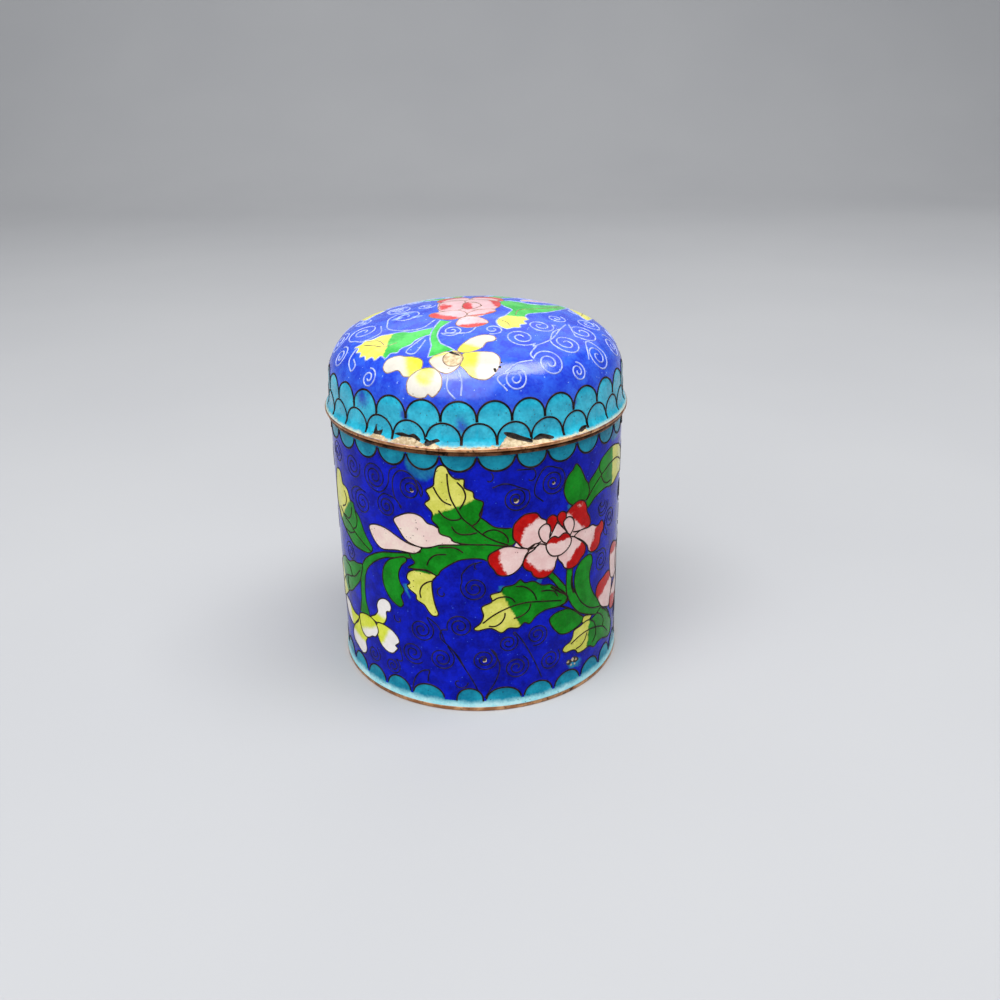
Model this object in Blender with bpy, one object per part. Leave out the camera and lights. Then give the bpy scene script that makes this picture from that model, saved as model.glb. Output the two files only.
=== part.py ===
"""A round enamelled copper box with a domed lift-off lid, in metres, +Z up.

The origin is on the ground, under the middle of the foot. The front faces -Y.
"""

import math

import bmesh
import bpy
from mathutils import Matrix, Vector

# Turning: how finely every round piece is divided.
TURN_STEPS = 64
ARC_STEPS = 7

# Pieces that touch in the real box keep this much air between their solids.
SEAM = 0.0003

# Body: copper sheet, enamelled inside and out.
WALL_RADIUS = 0.0400
WALL_THICKNESS = 0.0016
BODY_HEIGHT = 0.0747
FLOOR_THICKNESS = 0.0016
BASE_RECESS = 0.0020
INNER_CORNER_RADIUS = 0.0030
FOOT_FLARE = 0.0005
FOOT_FLARE_HEIGHT = 0.0040

# Bare copper band under the wall, which the box stands on.
FOOT_RIM_HEIGHT = 0.0013
FOOT_RIM_WIDTH = 0.0026
FOOT_RIM_OVERHANG = 0.0001

# Bare copper band on the mouth, with the collar that the lid slips over.
MOUTH_RIM_HEIGHT = 0.0010
MOUTH_RIM_OVERHANG = 0.0010
COLLAR_THICKNESS = 0.0008
COLLAR_RISE = 0.0045
COLLAR_SKIRT = 0.0040
COLLAR_CLEARANCE = 0.0003

# Lid: a low crown, a round shoulder, and a side that spreads towards its rim.
LID_THICKNESS = 0.0015
SHOULDER_HEIGHT = 0.0084
SHOULDER_RADIUS = 0.0134
CROWN_RISE = 0.0044
SIDE_SPREAD = 0.05
LID_FLARE = 0.0012
LID_FLARE_HEIGHT = 0.0026
LID_RIM_HEIGHT = 0.0009
LID_RIM_OVERHANG = 0.0002

# The copper bands have slightly rounded corners.
BAND_CHAMFER = 0.0002

COBALT = (0.012, 0.040, 0.560)
COPPER = (0.520, 0.270, 0.120)


def clear_scene():
    """Takes every object out of the scene that the file opens with."""
    for thing in list(bpy.data.objects):
        bpy.data.objects.remove(thing, do_unlink=True)


def finish_of(name, colour, roughness, metallic):
    """A plain Principled material."""
    material = bpy.data.materials.new(name)
    material.use_nodes = True
    shader = material.node_tree.nodes["Principled BSDF"]
    shader.inputs["Base Color"].default_value = (*colour, 1.0)
    shader.inputs["Roughness"].default_value = roughness
    shader.inputs["Metallic"].default_value = metallic
    return material


def turned(name, section, material):
    """Turns a closed section, a list of (radius, height) points, once round the Z axis."""
    shape = bmesh.new()
    corners = [shape.verts.new((radius, 0.0, height)) for radius, height in section]
    edges = [shape.edges.new((a, b)) for a, b in zip(corners, corners[1:])]
    if min(section[0][0], section[-1][0]) > 0.0:
        edges.append(shape.edges.new((corners[-1], corners[0])))
    bmesh.ops.spin(
        shape,
        geom=corners + edges,
        axis=Vector((0.0, 0.0, 1.0)),
        cent=Vector((0.0, 0.0, 0.0)),
        angle=math.tau,
        steps=TURN_STEPS,
        use_merge=True,
        use_duplicate=False,
    )
    bmesh.ops.remove_doubles(shape, verts=shape.verts, dist=1e-6)
    bmesh.ops.recalc_face_normals(shape, faces=shape.faces)
    mesh = bpy.data.meshes.new(name)
    shape.to_mesh(mesh)
    shape.free()
    mesh.materials.append(material)
    mesh.shade_smooth()
    mesh.set_sharp_from_angle(angle=math.radians(30.0))
    piece = bpy.data.objects.new(name, mesh)
    bpy.context.scene.collection.objects.link(piece)
    piece.matrix_world = Matrix.Identity(4)
    return piece


def arc(centre, radius, start, end, steps=ARC_STEPS):
    """Points on a circle of the section, from one angle to another, in degrees from +R towards +Z."""
    points = []
    for step in range(steps + 1):
        angle = math.radians(start + (end - start) * step / steps)
        along = centre[0] + radius * math.cos(angle)
        up = centre[1] + radius * math.sin(angle)
        points.append((along, up))
    return points


def flare(radius, gain, low, high, steps=4):
    """Points from high down to low, as the radius grows by gain along a hollow curve."""
    points = []
    for step in range(steps + 1):
        share = step / steps
        points.append((radius + gain * share * share, high + (low - high) * share))
    return points


def band(inner, outer, low, high):
    """The section of a flat copper band with small chamfers on its outer corners."""
    return [
        (inner, high),
        (outer - BAND_CHAMFER, high),
        (outer, high - BAND_CHAMFER),
        (outer, low + BAND_CHAMFER),
        (outer - BAND_CHAMFER, low),
        (inner, low),
    ]


def body_section():
    """Outer wall with its flared foot, and the inside with a rounded corner at the floor."""
    inner = WALL_RADIUS - WALL_THICKNESS
    wall_top = BODY_HEIGHT - MOUTH_RIM_HEIGHT - SEAM
    wall_foot = FOOT_RIM_HEIGHT + SEAM
    floor_top = BASE_RECESS + FLOOR_THICKNESS
    flare_top = wall_foot + FOOT_FLARE_HEIGHT
    corner = (inner - INNER_CORNER_RADIUS, floor_top + INNER_CORNER_RADIUS)
    inside = arc(corner, INNER_CORNER_RADIUS, -90.0, 0.0)
    outside = flare(WALL_RADIUS, FOOT_FLARE, wall_foot, flare_top)
    underside = [(inner, wall_foot), (inner, BASE_RECESS), (0.0, BASE_RECESS)]
    rim = [(inner, wall_top), (WALL_RADIUS, wall_top)]
    return [(0.0, floor_top), *inside, *rim, *outside, *underside]


def foot_rim_section():
    """The copper band that the box stands on."""
    outer = WALL_RADIUS + FOOT_FLARE + FOOT_RIM_OVERHANG
    return band(outer - FOOT_RIM_WIDTH, outer, 0.0, FOOT_RIM_HEIGHT)


def lid_seat():
    """The height of the lid rim's underside, just above the mouth rim."""
    return BODY_HEIGHT + SEAM


def lid_bottom():
    """The height of the enamelled lid's lower edge, just above its copper rim."""
    return lid_seat() + LID_RIM_HEIGHT + SEAM


def collar_radius():
    """The collar's outer radius, just inside the body's wall."""
    return WALL_RADIUS - WALL_THICKNESS - SEAM


def collar_top():
    """The height of the collar's upper edge."""
    return BODY_HEIGHT + COLLAR_RISE


def lid_side_radius(height):
    """The lid's outer radius on its side, which clears the collar and spreads evenly downwards."""
    over_collar = collar_radius() + COLLAR_CLEARANCE + LID_THICKNESS
    return over_collar + SIDE_SPREAD * (collar_top() - height)


def shoulder_centre():
    """The centre of the shoulder's arc, which ends on the side."""
    height = lid_seat() + SHOULDER_HEIGHT
    return lid_side_radius(height) - SHOULDER_RADIUS, height


def crown_radius():
    """The radius of the crown's arc, which meets the shoulder's arc smoothly."""
    along = shoulder_centre()[0]
    apex = SHOULDER_RADIUS + CROWN_RISE
    return (along**2 + apex**2 - SHOULDER_RADIUS**2) / (2.0 * CROWN_RISE)


def lid_dome(thickness):
    """Half the dome, from the axis out and down, this far inside the outer surface."""
    along, up = shoulder_centre()
    crown = crown_radius()
    centre = up + SHOULDER_RADIUS + CROWN_RISE - crown
    meets = math.degrees(math.atan2(up - centre, along))
    top = arc((0.0, centre), crown - thickness, 90.0, meets)
    shoulder = arc((along, up), SHOULDER_RADIUS - thickness, meets, 0.0)
    top[0] = (0.0, top[0][1])
    return top + shoulder[1:]


def lid_section():
    """Outer dome and flared side, and the inside, parallel to it."""
    flare_top = lid_bottom() + LID_FLARE_HEIGHT
    spread = lid_side_radius(flare_top)
    outside = flare(spread, LID_FLARE, lid_bottom(), flare_top)
    lower = [(radius - LID_THICKNESS, height) for radius, height in reversed(outside)]
    return lid_dome(0.0) + outside + lower + lid_dome(LID_THICKNESS)[::-1]


def mouth_rim_section():
    """A flat ring on the wall, with a thin collar that goes down inside the wall and up inside the lid."""
    outer = WALL_RADIUS + MOUTH_RIM_OVERHANG
    collar = collar_radius()
    inner = collar - COLLAR_THICKNESS
    ring_foot = BODY_HEIGHT - MOUTH_RIM_HEIGHT
    collar_foot = ring_foot - COLLAR_SKIRT
    ring = band(collar, outer, ring_foot, BODY_HEIGHT)
    upper = [(inner, collar_top()), (collar, collar_top())]
    lower = [(collar, collar_foot), (inner, collar_foot)]
    return upper + ring + lower


def lid_rim_section():
    """The copper band round the lid's lower edge."""
    side = lid_side_radius(lid_bottom() + LID_FLARE_HEIGHT) + LID_FLARE
    outer = side + LID_RIM_OVERHANG
    return band(side - LID_THICKNESS, outer, lid_seat(), lid_seat() + LID_RIM_HEIGHT)


def main():
    clear_scene()
    enamel = finish_of("cobalt_enamel", COBALT, 0.12, 0.0)
    lid_enamel = finish_of("cobalt_lid_enamel", COBALT, 0.12, 0.0)
    copper = finish_of("bare_copper", COPPER, 0.35, 1.0)
    turned("body", body_section(), enamel)
    turned("foot_rim", foot_rim_section(), copper)
    turned("mouth_rim", mouth_rim_section(), copper)
    turned("lid", lid_section(), lid_enamel)
    turned("lid_rim", lid_rim_section(), copper)


main()
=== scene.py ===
"""The enamel, wires and copper of a round cloisonne box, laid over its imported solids.

The picture is drawn flat in millimetres, as a wire worker lays it out, and then wrapped on the copper.
On the wall a mark is (arc length from the front, height). On the lid it is (right, back) from the middle
of the top, measured along the dome.
"""

import math

import bmesh
import bpy
import numpy as np
from mathutils import Matrix, Vector, noise
from mathutils.geometry import delaunay_2d_cdt


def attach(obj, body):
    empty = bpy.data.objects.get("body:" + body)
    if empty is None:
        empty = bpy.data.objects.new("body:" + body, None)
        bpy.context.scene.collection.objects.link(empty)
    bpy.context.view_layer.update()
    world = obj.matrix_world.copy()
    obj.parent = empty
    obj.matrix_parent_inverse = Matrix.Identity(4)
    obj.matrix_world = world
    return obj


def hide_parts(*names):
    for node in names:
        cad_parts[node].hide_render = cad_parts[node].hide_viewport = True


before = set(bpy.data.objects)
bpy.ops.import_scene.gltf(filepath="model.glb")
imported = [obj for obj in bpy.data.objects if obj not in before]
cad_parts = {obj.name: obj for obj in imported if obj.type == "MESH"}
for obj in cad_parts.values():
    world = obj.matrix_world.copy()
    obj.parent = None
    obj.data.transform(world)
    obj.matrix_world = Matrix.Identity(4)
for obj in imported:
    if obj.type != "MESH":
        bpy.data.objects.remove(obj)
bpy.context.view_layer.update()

MM = 0.001

# Copper and enamel sizes, in mm, after the solids. Skins and bands meet within the solids' narrow seams,
# and the band at the mouth is a little narrower than its solid.
WALL_RADIUS = 40.0
WALL_THICKNESS = 1.6
WALL_FOOT = 1.25
WALL_TOP = 73.75
FOOT_FLARE = 0.5
FLARE_TOP = 5.6
FLOOR_TOP = 3.6
BASE_RECESS = 2.0
INNER_CORNER = 3.0
BODY_HEIGHT = 74.7
LID_SEAT = 75.0
LID_FOOT = 75.85
LID_THICKNESS = 1.5
LID_FLARE = 1.2
LID_FLARE_TOP = 78.8
SHOULDER_HEIGHT = 83.4
SHOULDER_RADIUS = 13.4
CROWN_RISE = 4.4
SIDE_SPREAD = 0.05
COLLAR_RADIUS = 38.1
COLLAR_TOP = 79.2
COLLAR_CLEARANCE = 0.3
COLLAR_THICKNESS = 0.8
COLLAR_FOOT = 69.7
FOOT_RIM_INNER = 38.0
FOOT_RIM_OUTER = 40.6
MOUTH_RIM_OUTER = 40.75
LID_RIM_OVERHANG = 0.2
LID_RIM_LAP = 0.05
FOOT_RIM_SOFT = 0.35
RIM_SOFT = 0.3
ROUND = 2.0 * math.pi * WALL_RADIUS
HALF_ROUND = 0.5 * ROUND

# Radii of the wire rods, and how deep their middles lie in the enamel.
WIRE_RADIUS = 0.27
SCROLL_RADIUS = 0.25
LID_SCROLL_RADIUS = 0.28
FAINT_RADIUS = 0.22
BOLD_RADIUS = 0.33
WIRE_SINK = 0.15

# The lid's enamel lies this far inside its solid, so that its wires stay inside too.
LID_SKIN_DROP = 0.12

# The greatest distance between two points of a drawn line.
MARK_STEP = 0.5
FINE_STEP = 0.3

# Well past, or well short of, the line where a cell's second colour begins.
FAR = 9.0

# Turns of a scroll are drawn with this many points, from an eye of this share of its radius.
SCROLL_POINTS = 26
SCROLL_EYE = 0.12

# Arches: their sides spread under the wire, and those with sides shorter than this are flattened.
ARCH_SPREAD = 0.14
LEAST_SIDE = 0.2


def srgb(red, green, blue):
    """A colour as seen on a screen, 0 to 255, as a shader takes it."""
    parts = []
    for value in (red, green, blue):
        share = value / 255.0
        parts.append(share / 12.92 if share <= 0.04045 else ((share + 0.055) / 1.055) ** 2.4)
    return (*parts, 1.0)


# Drawing: lines bent through a few marks.


def bend(marks, closed=False, step=MARK_STEP):
    """A smooth line through the marks, sampled evenly."""
    marks = [Vector(mark) for mark in marks]
    count = len(marks)
    spans = count if closed else count - 1
    line = []
    for span in range(spans):
        if closed:
            before, start, end, after = (marks[(span + shift) % count] for shift in (-1, 0, 1, 2))
        else:
            start, end = marks[span], marks[span + 1]
            before = marks[span - 1] if span else start * 2.0 - end
            after = marks[span + 2] if span + 2 < count else end * 2.0 - start
        pieces = max(2, math.ceil((end - start).length / step))
        for piece in range(pieces):
            t = piece / pieces
            line.append(
                0.5
                * (
                    start * 2.0
                    + (end - before) * t
                    + (before * 2.0 - start * 5.0 + end * 4.0 - after) * t**2
                    + (start * 3.0 - before - end * 3.0 + after) * t**3
                )
            )
    if not closed:
        line.append(marks[-1])
    return line


def walk(line):
    """Each point of a line with its share of the length and the normal to its left."""
    lengths = [0.0]
    for a, b in zip(line, line[1:]):
        lengths.append(lengths[-1] + (b - a).length)
    for index, point in enumerate(line):
        ahead = line[min(index + 1, len(line) - 1)] - line[max(index - 1, 0)]
        ahead.normalize()
        yield point, lengths[index] / lengths[-1], Vector((-ahead.y, ahead.x))


def inside(outline, x, y):
    """Which of the points lie inside a closed outline."""
    hit = np.zeros(len(x), dtype=bool)
    px, py = outline[:, 0], outline[:, 1]
    qx, qy = np.roll(px, -1), np.roll(py, -1)
    for ax, ay, bx, by in zip(px, py, qx, qy):
        if ay == by:
            continue
        crosses = (ay > y) != (by > y)
        hit ^= crosses & (x < (bx - ax) * (y - ay) / (by - ay) + ax)
    return hit


class Spot:
    """Where a group of motifs is laid: moved, and turned about a point."""

    def __init__(self, move=(0.0, 0.0), about=(0.0, 0.0), turn=0.0):
        self.move = Vector(move)
        self.about = Vector(about)
        self.grid = Matrix.Rotation(math.radians(turn), 2)
        self.back = self.grid.inverted()

    def lay(self, mark):
        """Where a mark of the motif comes to lie."""
        return self.grid @ (Vector(mark) - self.about) + self.about + self.move

    def read(self, x, y):
        """Which marks of the motif lie at these places."""
        dx, dy = x - self.about.x - self.move.x, y - self.about.y - self.move.y
        local_x = self.back[0][0] * dx + self.back[0][1] * dy + self.about.x
        local_y = self.back[1][0] * dx + self.back[1][1] * dy + self.about.y
        return local_x, local_y


class Sheet:
    """The flat drawing: enamel cells and wires in the order in which they lie over each other.

    A wire's kind is cell, scroll or faint, and the wires of one kind become one piece.
    """

    def __init__(self, fine):
        self.cells = []
        self.wires = []
        self.spot = Spot()
        self.kind = "cell"
        self.fine = fine
        self.width = WIRE_RADIUS

    def cell(self, outline, enamel, blush=None, depth=0.0):
        """A field of enamel. Blush is how far a place is past the line where its second colour begins."""
        points = np.array([self.spot.lay(point) for point in outline])
        spot = self.spot
        shade = None
        if blush is not None:
            shade = lambda x, y: blush(*spot.read(x, y))
        self.cells.append({"outline": points, "enamel": enamel, "blush": shade, "depth": depth})

    def wire(self, line, radius=None, kind=None):
        """A wire, which every cell that is laid later hides."""
        points = [self.spot.lay(point) for point in line]
        radius, kind = radius or self.width, kind or self.kind
        self.wires.append({"line": points, "radius": radius, "kind": kind, "after": len(self.cells)})

    def field(self, marks, enamel, blush=None):
        """A cell with a smooth outline through the marks, and its wire."""
        line = bend(marks, closed=True)
        self.cell(line, enamel, blush)
        self.wire(line + line[:1])

    def visible_runs(self, kind):
        """The stretches of wire that no later cell hides, with their radius."""
        for wire in self.wires:
            if wire["kind"] != kind:
                continue
            points = np.array(wire["line"])
            hidden = np.zeros(len(points), dtype=bool)
            low, high = points.min(0), points.max(0)
            for cell in self.cells[wire["after"] :]:
                outline = cell["outline"]
                if (outline.max(0) < low).any() or (outline.min(0) > high).any():
                    continue
                hidden |= inside(outline, points[:, 0], points[:, 1])
            run = []
            for point, gone in zip(wire["line"], hidden):
                if not gone:
                    run.append(point)
                    continue
                if len(run) > 1:
                    yield run, wire["radius"]
                run = []
            if len(run) > 1:
                yield run, wire["radius"]


# How far past a line or from a root a place is, for the second colour of a cell.


def past(mark, towards):
    """Distance past a straight line through a mark, along a direction."""
    heading = Vector(towards).normalized()
    return lambda x, y: (x - mark[0]) * heading.x + (y - mark[1]) * heading.y


def beyond(root, reach):
    """Distance beyond a circle about a petal's root."""
    return lambda x, y: np.hypot(x - root[0], y - root[1]) - reach


def near(root, reach):
    """How far inside a circle a place is."""
    return lambda x, y: reach - np.hypot(x - root[0], y - root[1])


def all_second(x, y):
    """A cell that is all of its second colour."""
    return x * 0.0 + FAR


def all_first(x, y):
    """A cell that is all of its first colour."""
    return x * 0.0 - FAR


# Motifs


def stem(sheet, marks, widths):
    """A stem through the marks, with its width at each share of the way."""
    line = bend(marks)
    left, right = [], []
    for point, t, normal in walk(line):
        place = t * (len(widths) - 1)
        index = min(int(place), len(widths) - 2)
        width = widths[index] + (widths[index + 1] - widths[index]) * (place - index)
        left.append(point + normal * width * 0.5)
        right.append(point - normal * width * 0.5)
    sheet.cell(left + right[::-1], "leaf", all_first)
    sheet.wire(left)
    sheet.wire(right)
    sheet.wire([left[-1], right[-1]])


def veined(sheet, outline, turn, veins):
    """A leaf by its outline, with the line past which it is yellow, and its vein wires."""
    sheet.field(outline, "leaf", turn)
    for vein in veins:
        sheet.wire(bend(vein))


def scroll(sheet, centre, radius, turns, start, hand, tail=()):
    """A spiral of fine wire, from its eye outwards, and then its tail through the marks."""
    line = []
    steps = round(turns * SCROLL_POINTS)
    for step in range(steps + 1):
        share = step / steps
        angle = math.radians(start) - hand * math.tau * turns * (1.0 - share)
        reach = radius * (SCROLL_EYE + (1.0 - SCROLL_EYE) * share**0.9)
        line.append(Vector(centre) + Vector((math.cos(angle), math.sin(angle))) * reach)
    if tail:
        line = line[:-1] + bend([line[-1], *tail])
    sheet.wire(line, sheet.fine, "scroll")


def blob(centre, size):
    """An uneven small round outline."""
    edge = []
    for step in range(9):
        angle = math.tau * step / 9
        heading = Vector((math.cos(angle), math.sin(angle)))
        place = Vector((centre[0] + heading.x, centre[1] + heading.y, 0.5))
        edge.append(Vector(centre) + heading * size * (1.0 + 0.5 * noise.noise(place)))
    return edge


def pit(sheet, centre, size, depth=0.3):
    """A small hole burnt through the enamel, with a pale edge."""
    sheet.cell(blob((centre[0] + 0.2 * size, centre[1] - 0.3 * size), size * 1.15), "filler",
               depth=0.5 * depth)
    sheet.cell(blob(centre, size * 1.1), "dark_break_and_shadow", depth=depth)


def half_round(left, right, spring, rise, steps):
    """Marks along a half circle, or half an oval, from one junction to the other."""
    middle, half = 0.5 * (left + right), 0.5 * (right - left)
    marks = []
    for step in range(steps + 1):
        angle = math.pi * step / steps
        marks.append((middle - half * math.cos(angle), spring + rise * math.sin(angle)))
    return marks


def arch(sheet, left, right, foot, top, fade, lay=None, bare=0.0, enamel="turquoise"):
    """A round scale or lappet between two junctions. Its wire begins a bare length from its foot."""
    half = 0.5 * (right - left)
    way = 1.0 if top > foot else -1.0
    spring = top - way * half
    if (spring - foot) * way < LEAST_SIDE:
        spring = foot
        marks = half_round(left, right, foot, top - foot, 22)
        spread = marks
    else:
        bow = half_round(left, right, spring, way * half, 20)
        marks = [(left, foot), *bow, (right, foot)]
        far_left, far_right = left - ARCH_SPREAD, right + ARCH_SPREAD
        spread = [(far_left, foot), (far_left, spring), *bow, (far_right, spring), (far_right, foot)]
    lay = lay or (lambda s, up: Vector((s, up)))
    line = [lay(*mark) for mark in marks]
    base = [lay(right - (right - left) * share, foot) for share in (0.25, 0.5, 0.75)]
    sheet.cell([lay(*mark) for mark in spread] + base, enamel, fade)
    sides = np.arange(foot + way * bare, spring, way * MARK_STEP)
    up = [lay(left, height) for height in sides]
    down = [lay(right, height) for height in sides[::-1]]
    sheet.wire([*up, *line[1:-1], *down], BOLD_RADIUS)


# The wall's picture


# Each petal of the peony: its outline, and how far a place is past the line where its red begins.
# The second one is worn to a pink mottle in one place.
PEONY_PETALS = (
    (((10.8, 48.2), (9.6, 49.6), (8.6, 50.8), (8.4, 52.6), (8.7, 54.6), (10.0, 56.1), (11.4, 57.1),
      (13.4, 57.3), (14.9, 56.9), (16.0, 55.4), (17.6, 54.2), (18.0, 51.0), (16.0, 48.8), (14.0, 48.4),
      (12.4, 47.6)), beyond((17.6, 49.6), 6.7)),
    (((24.0, 53.6), (23.5, 54.6), (24.6, 55.8), (26.3, 56.8), (28.2, 57.2), (30.0, 56.4), (30.9, 54.8),
      (31.2, 53.0), (32.4, 51.0), (32.6, 49.0), (31.0, 48.2), (28.8, 48.5), (26.0, 49.0), (24.5, 51.0)),
     past((27.0, 51.9), (0.72, 0.70))),
    (((26.4, 47.4), (28.6, 48.5), (31.8, 48.3), (33.6, 48.4), (35.2, 47.5), (36.6, 47.2), (38.1, 48.0),
      (39.3, 46.9), (39.3, 45.0), (37.9, 43.6), (37.4, 41.5), (35.9, 40.3), (33.9, 40.2), (32.3, 41.2),
      (31.6, 42.9), (30.2, 44.6), (28.2, 46.2)), past((34.0, 44.2), (0.90, -0.43))),
    (((12.6, 47.3), (10.0, 48.1), (8.0, 48.8), (6.0, 48.8), (4.0, 48.0), (2.4, 47.0), (2.0, 45.5),
      (2.5, 43.9), (3.5, 42.6), (4.3, 41.2), (6.0, 40.6), (8.0, 40.8), (9.8, 42.0), (11.0, 43.6),
      (11.6, 45.4)), beyond((14.0, 46.2), 8.9)),
    (((15.6, 48.2), (14.0, 46.9), (12.4, 46.0), (11.2, 44.2), (11.1, 42.7), (12.1, 41.4), (13.3, 40.7),
      (13.9, 39.4), (15.4, 38.4), (17.4, 38.2), (19.0, 38.9), (20.1, 40.2), (20.5, 42.0), (21.0, 43.3),
      (19.4, 45.0), (18.2, 47.0)), beyond((18.4, 46.6), 6.5)),
    (((21.1, 43.3), (21.5, 42.0), (22.5, 40.8), (23.3, 39.3), (25.3, 38.4), (27.6, 38.8), (29.2, 40.2),
      (30.6, 41.3), (30.9, 43.0), (29.8, 44.7), (28.1, 46.1), (26.4, 47.4), (24.8, 47.6), (22.8, 45.2)),
     past((26.5, 42.6), (0.76, -0.65))),
)
MOTTLED_PETAL = 1
PEONY_TUFTS = (
    ((17.6, 53.6), (17.9, 54.9), (19.2, 55.6), (20.3, 55.0), (20.9, 54.2), (20.4, 52.4), (19.6, 50.6),
     (18.4, 51.6)),
    ((20.7, 54.2), (21.2, 55.4), (22.2, 55.8), (23.4, 55.2), (23.6, 54.0), (23.3, 52.6), (22.4, 51.4),
     (21.6, 52.4)),
)
PEONY_INNER = (
    ((18.9, 50.0), (19.8, 51.6), (20.8, 52.9), (22.2, 51.6), (23.8, 49.6), (24.0, 48.6), (18.6, 48.6)),
    ((17.8, 47.9), (16.4, 48.8), (15.5, 50.6), (15.4, 52.0), (16.1, 53.0), (17.3, 53.5), (18.4, 52.9),
     (18.8, 51.4), (18.5, 50.0), (18.5, 48.4)),
    ((24.9, 48.4), (23.9, 49.6), (23.0, 51.4), (22.8, 52.8), (24.2, 53.7), (25.6, 53.1), (26.3, 51.6),
     (26.1, 50.0)),
)
PEONY_BUD = ((17.5, 47.4), (18.6, 49.0), (20.0, 49.4), (21.2, 48.7), (22.8, 49.5), (24.4, 48.9),
             (25.4, 47.2), (25.0, 45.4), (23.3, 44.0), (21.4, 43.5), (19.2, 44.0), (17.9, 45.6))


def mottled(red):
    """The upper right petal's red, which is worn to a pink mottle in one place."""
    return lambda x, y: np.minimum(red(x, y),
                                   0.1 + 1.5 * np.maximum(np.hypot((x - 28.6) / 1.7,
                                                                   (y - 55.0) / 1.4) - 0.8, 0.0))


def peony(sheet):
    """The open peony, from its outer petals to its bud."""
    sheet.cell(bend(((9.0, 44.0), (9.6, 50.0), (17.0, 54.0), (25.0, 54.0), (32.0, 49.6), (31.0, 44.0),
                     (21.0, 42.6)), closed=True), "petal", all_first)
    for number, (marks, red) in enumerate(PEONY_PETALS):
        sheet.field(marks, "petal", mottled(red) if number == MOTTLED_PETAL else red)
    sheet.wire(bend(((12.2, 47.2), (14.2, 47.5), (15.4, 48.0))))
    sheet.wire(bend(((12.6, 47.4), (13.6, 47.8), (14.4, 48.6))))
    for marks in PEONY_TUFTS:
        sheet.field(marks, "petal", all_second)
    for marks in PEONY_INNER:
        sheet.field(marks, "petal", all_first)
    lip = lambda x, y: (y - 47.5) * 1.6 + 0.45 * np.cos((x - 21.4) * 0.85)
    sheet.field(PEONY_BUD, "petal", lip)


# The half-open bud, the blossom, and the leaves of the front, each drawn as it lies.
BUD_SMALL = ((-31.8, 50.2), (-30.0, 51.2), (-27.5, 51.5), (-25.0, 51.1), (-22.6, 50.1), (-20.0, 49.0),
             (-18.0, 48.4), (-15.2, 48.0), (-15.8, 46.8), (-17.2, 46.0), (-19.0, 45.9), (-22.5, 45.8),
             (-26.8, 44.9), (-28.8, 45.4), (-30.4, 46.9), (-31.5, 48.7))
BUD_LARGE = ((-22.9, 54.5), (-21.0, 56.0), (-18.6, 57.1), (-16.4, 57.3), (-14.5, 56.6), (-13.2, 55.2),
             (-11.6, 54.8), (-10.2, 53.9), (-9.9, 52.7), (-7.6, 52.1), (-6.8, 51.0), (-5.0, 50.4),
             (-2.6, 50.0), (-7.0, 49.7), (-10.0, 49.4), (-12.5, 48.5), (-14.6, 48.1), (-17.0, 48.4),
             (-19.6, 49.5), (-21.6, 52.2))
BLOSSOM_PETALS = (
    (((-40.2, 19.0), (-43.0, 18.9), (-45.0, 19.5), (-47.5, 20.5), (-51.0, 20.6), (-53.0, 19.0),
      (-51.0, 16.0), (-48.0, 14.5), (-45.0, 14.2), (-42.4, 16.6)), past((-46.4, 17.0), (1.0, 0.3))),
    (((-40.2, 19.0), (-41.5, 17.0), (-44.0, 14.8), (-45.6, 12.5), (-46.0, 10.4), (-44.6, 9.0), (-42.0, 8.2),
      (-40.0, 7.5), (-38.0, 8.5), (-37.2, 10.4), (-37.5, 12.4), (-36.6, 14.0), (-38.6, 14.9)),
     past((-41.0, 12.3), (0.1, 1.0))),
    (((-34.0, 22.0), (-32.0, 23.4), (-30.8, 25.0), (-31.0, 26.8), (-30.0, 28.8), (-28.0, 29.9),
      (-26.2, 29.5), (-25.5, 28.0), (-26.0, 26.5), (-27.3, 26.0), (-27.4, 24.0), (-28.5, 22.0),
      (-30.5, 21.1), (-33.0, 21.4)), past((-29.8, 24.0), (-0.1, -1.0))),
    (((-31.4, 21.0), (-29.0, 21.6), (-26.0, 21.0), (-24.0, 19.5), (-23.4, 17.8), (-24.8, 16.3),
      (-24.0, 15.8), (-24.8, 14.6), (-26.0, 13.5), (-28.0, 13.4), (-30.0, 14.5), (-31.1, 16.2),
      (-31.6, 18.6)), past((-28.0, 18.2), (-0.86, 0.5))),
    (((-40.0, 20.2), (-38.0, 21.3), (-35.5, 21.8), (-33.0, 21.4), (-31.6, 20.0), (-31.2, 18.2),
      (-32.4, 16.2), (-34.0, 15.7), (-35.2, 14.8), (-37.0, 14.1), (-38.8, 14.8), (-39.8, 16.5),
      (-40.2, 18.5)), past((-35.8, 17.6), (-0.45, 0.9))),
)
CRESCENT = ((-20.2, 44.4), (-23.2, 43.4), (-25.6, 42.0), (-27.3, 39.5), (-27.9, 36.5), (-27.5, 33.8),
            (-26.0, 31.2), (-24.0, 29.6), (-22.2, 29.1), (-21.3, 30.4), (-21.9, 32.4), (-20.9, 34.5),
            (-22.0, 36.5), (-22.3, 39.0), (-21.3, 41.5), (-19.6, 43.4))
FOLDED_LEAF = ((-19.2, 40.2), (-17.2, 41.3), (-14.6, 41.6), (-12.6, 41.1), (-11.4, 40.4), (-12.5, 38.8),
               (-12.6, 36.4), (-12.3, 33.5), (-11.8, 31.2), (-11.2, 29.4), (-11.7, 28.6), (-12.9, 28.6),
               (-14.0, 29.8), (-15.0, 31.4), (-16.2, 32.0), (-17.2, 32.7), (-17.3, 34.0), (-18.8, 35.0),
               (-19.8, 36.2), (-18.9, 37.2), (-19.8, 38.4))
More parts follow.
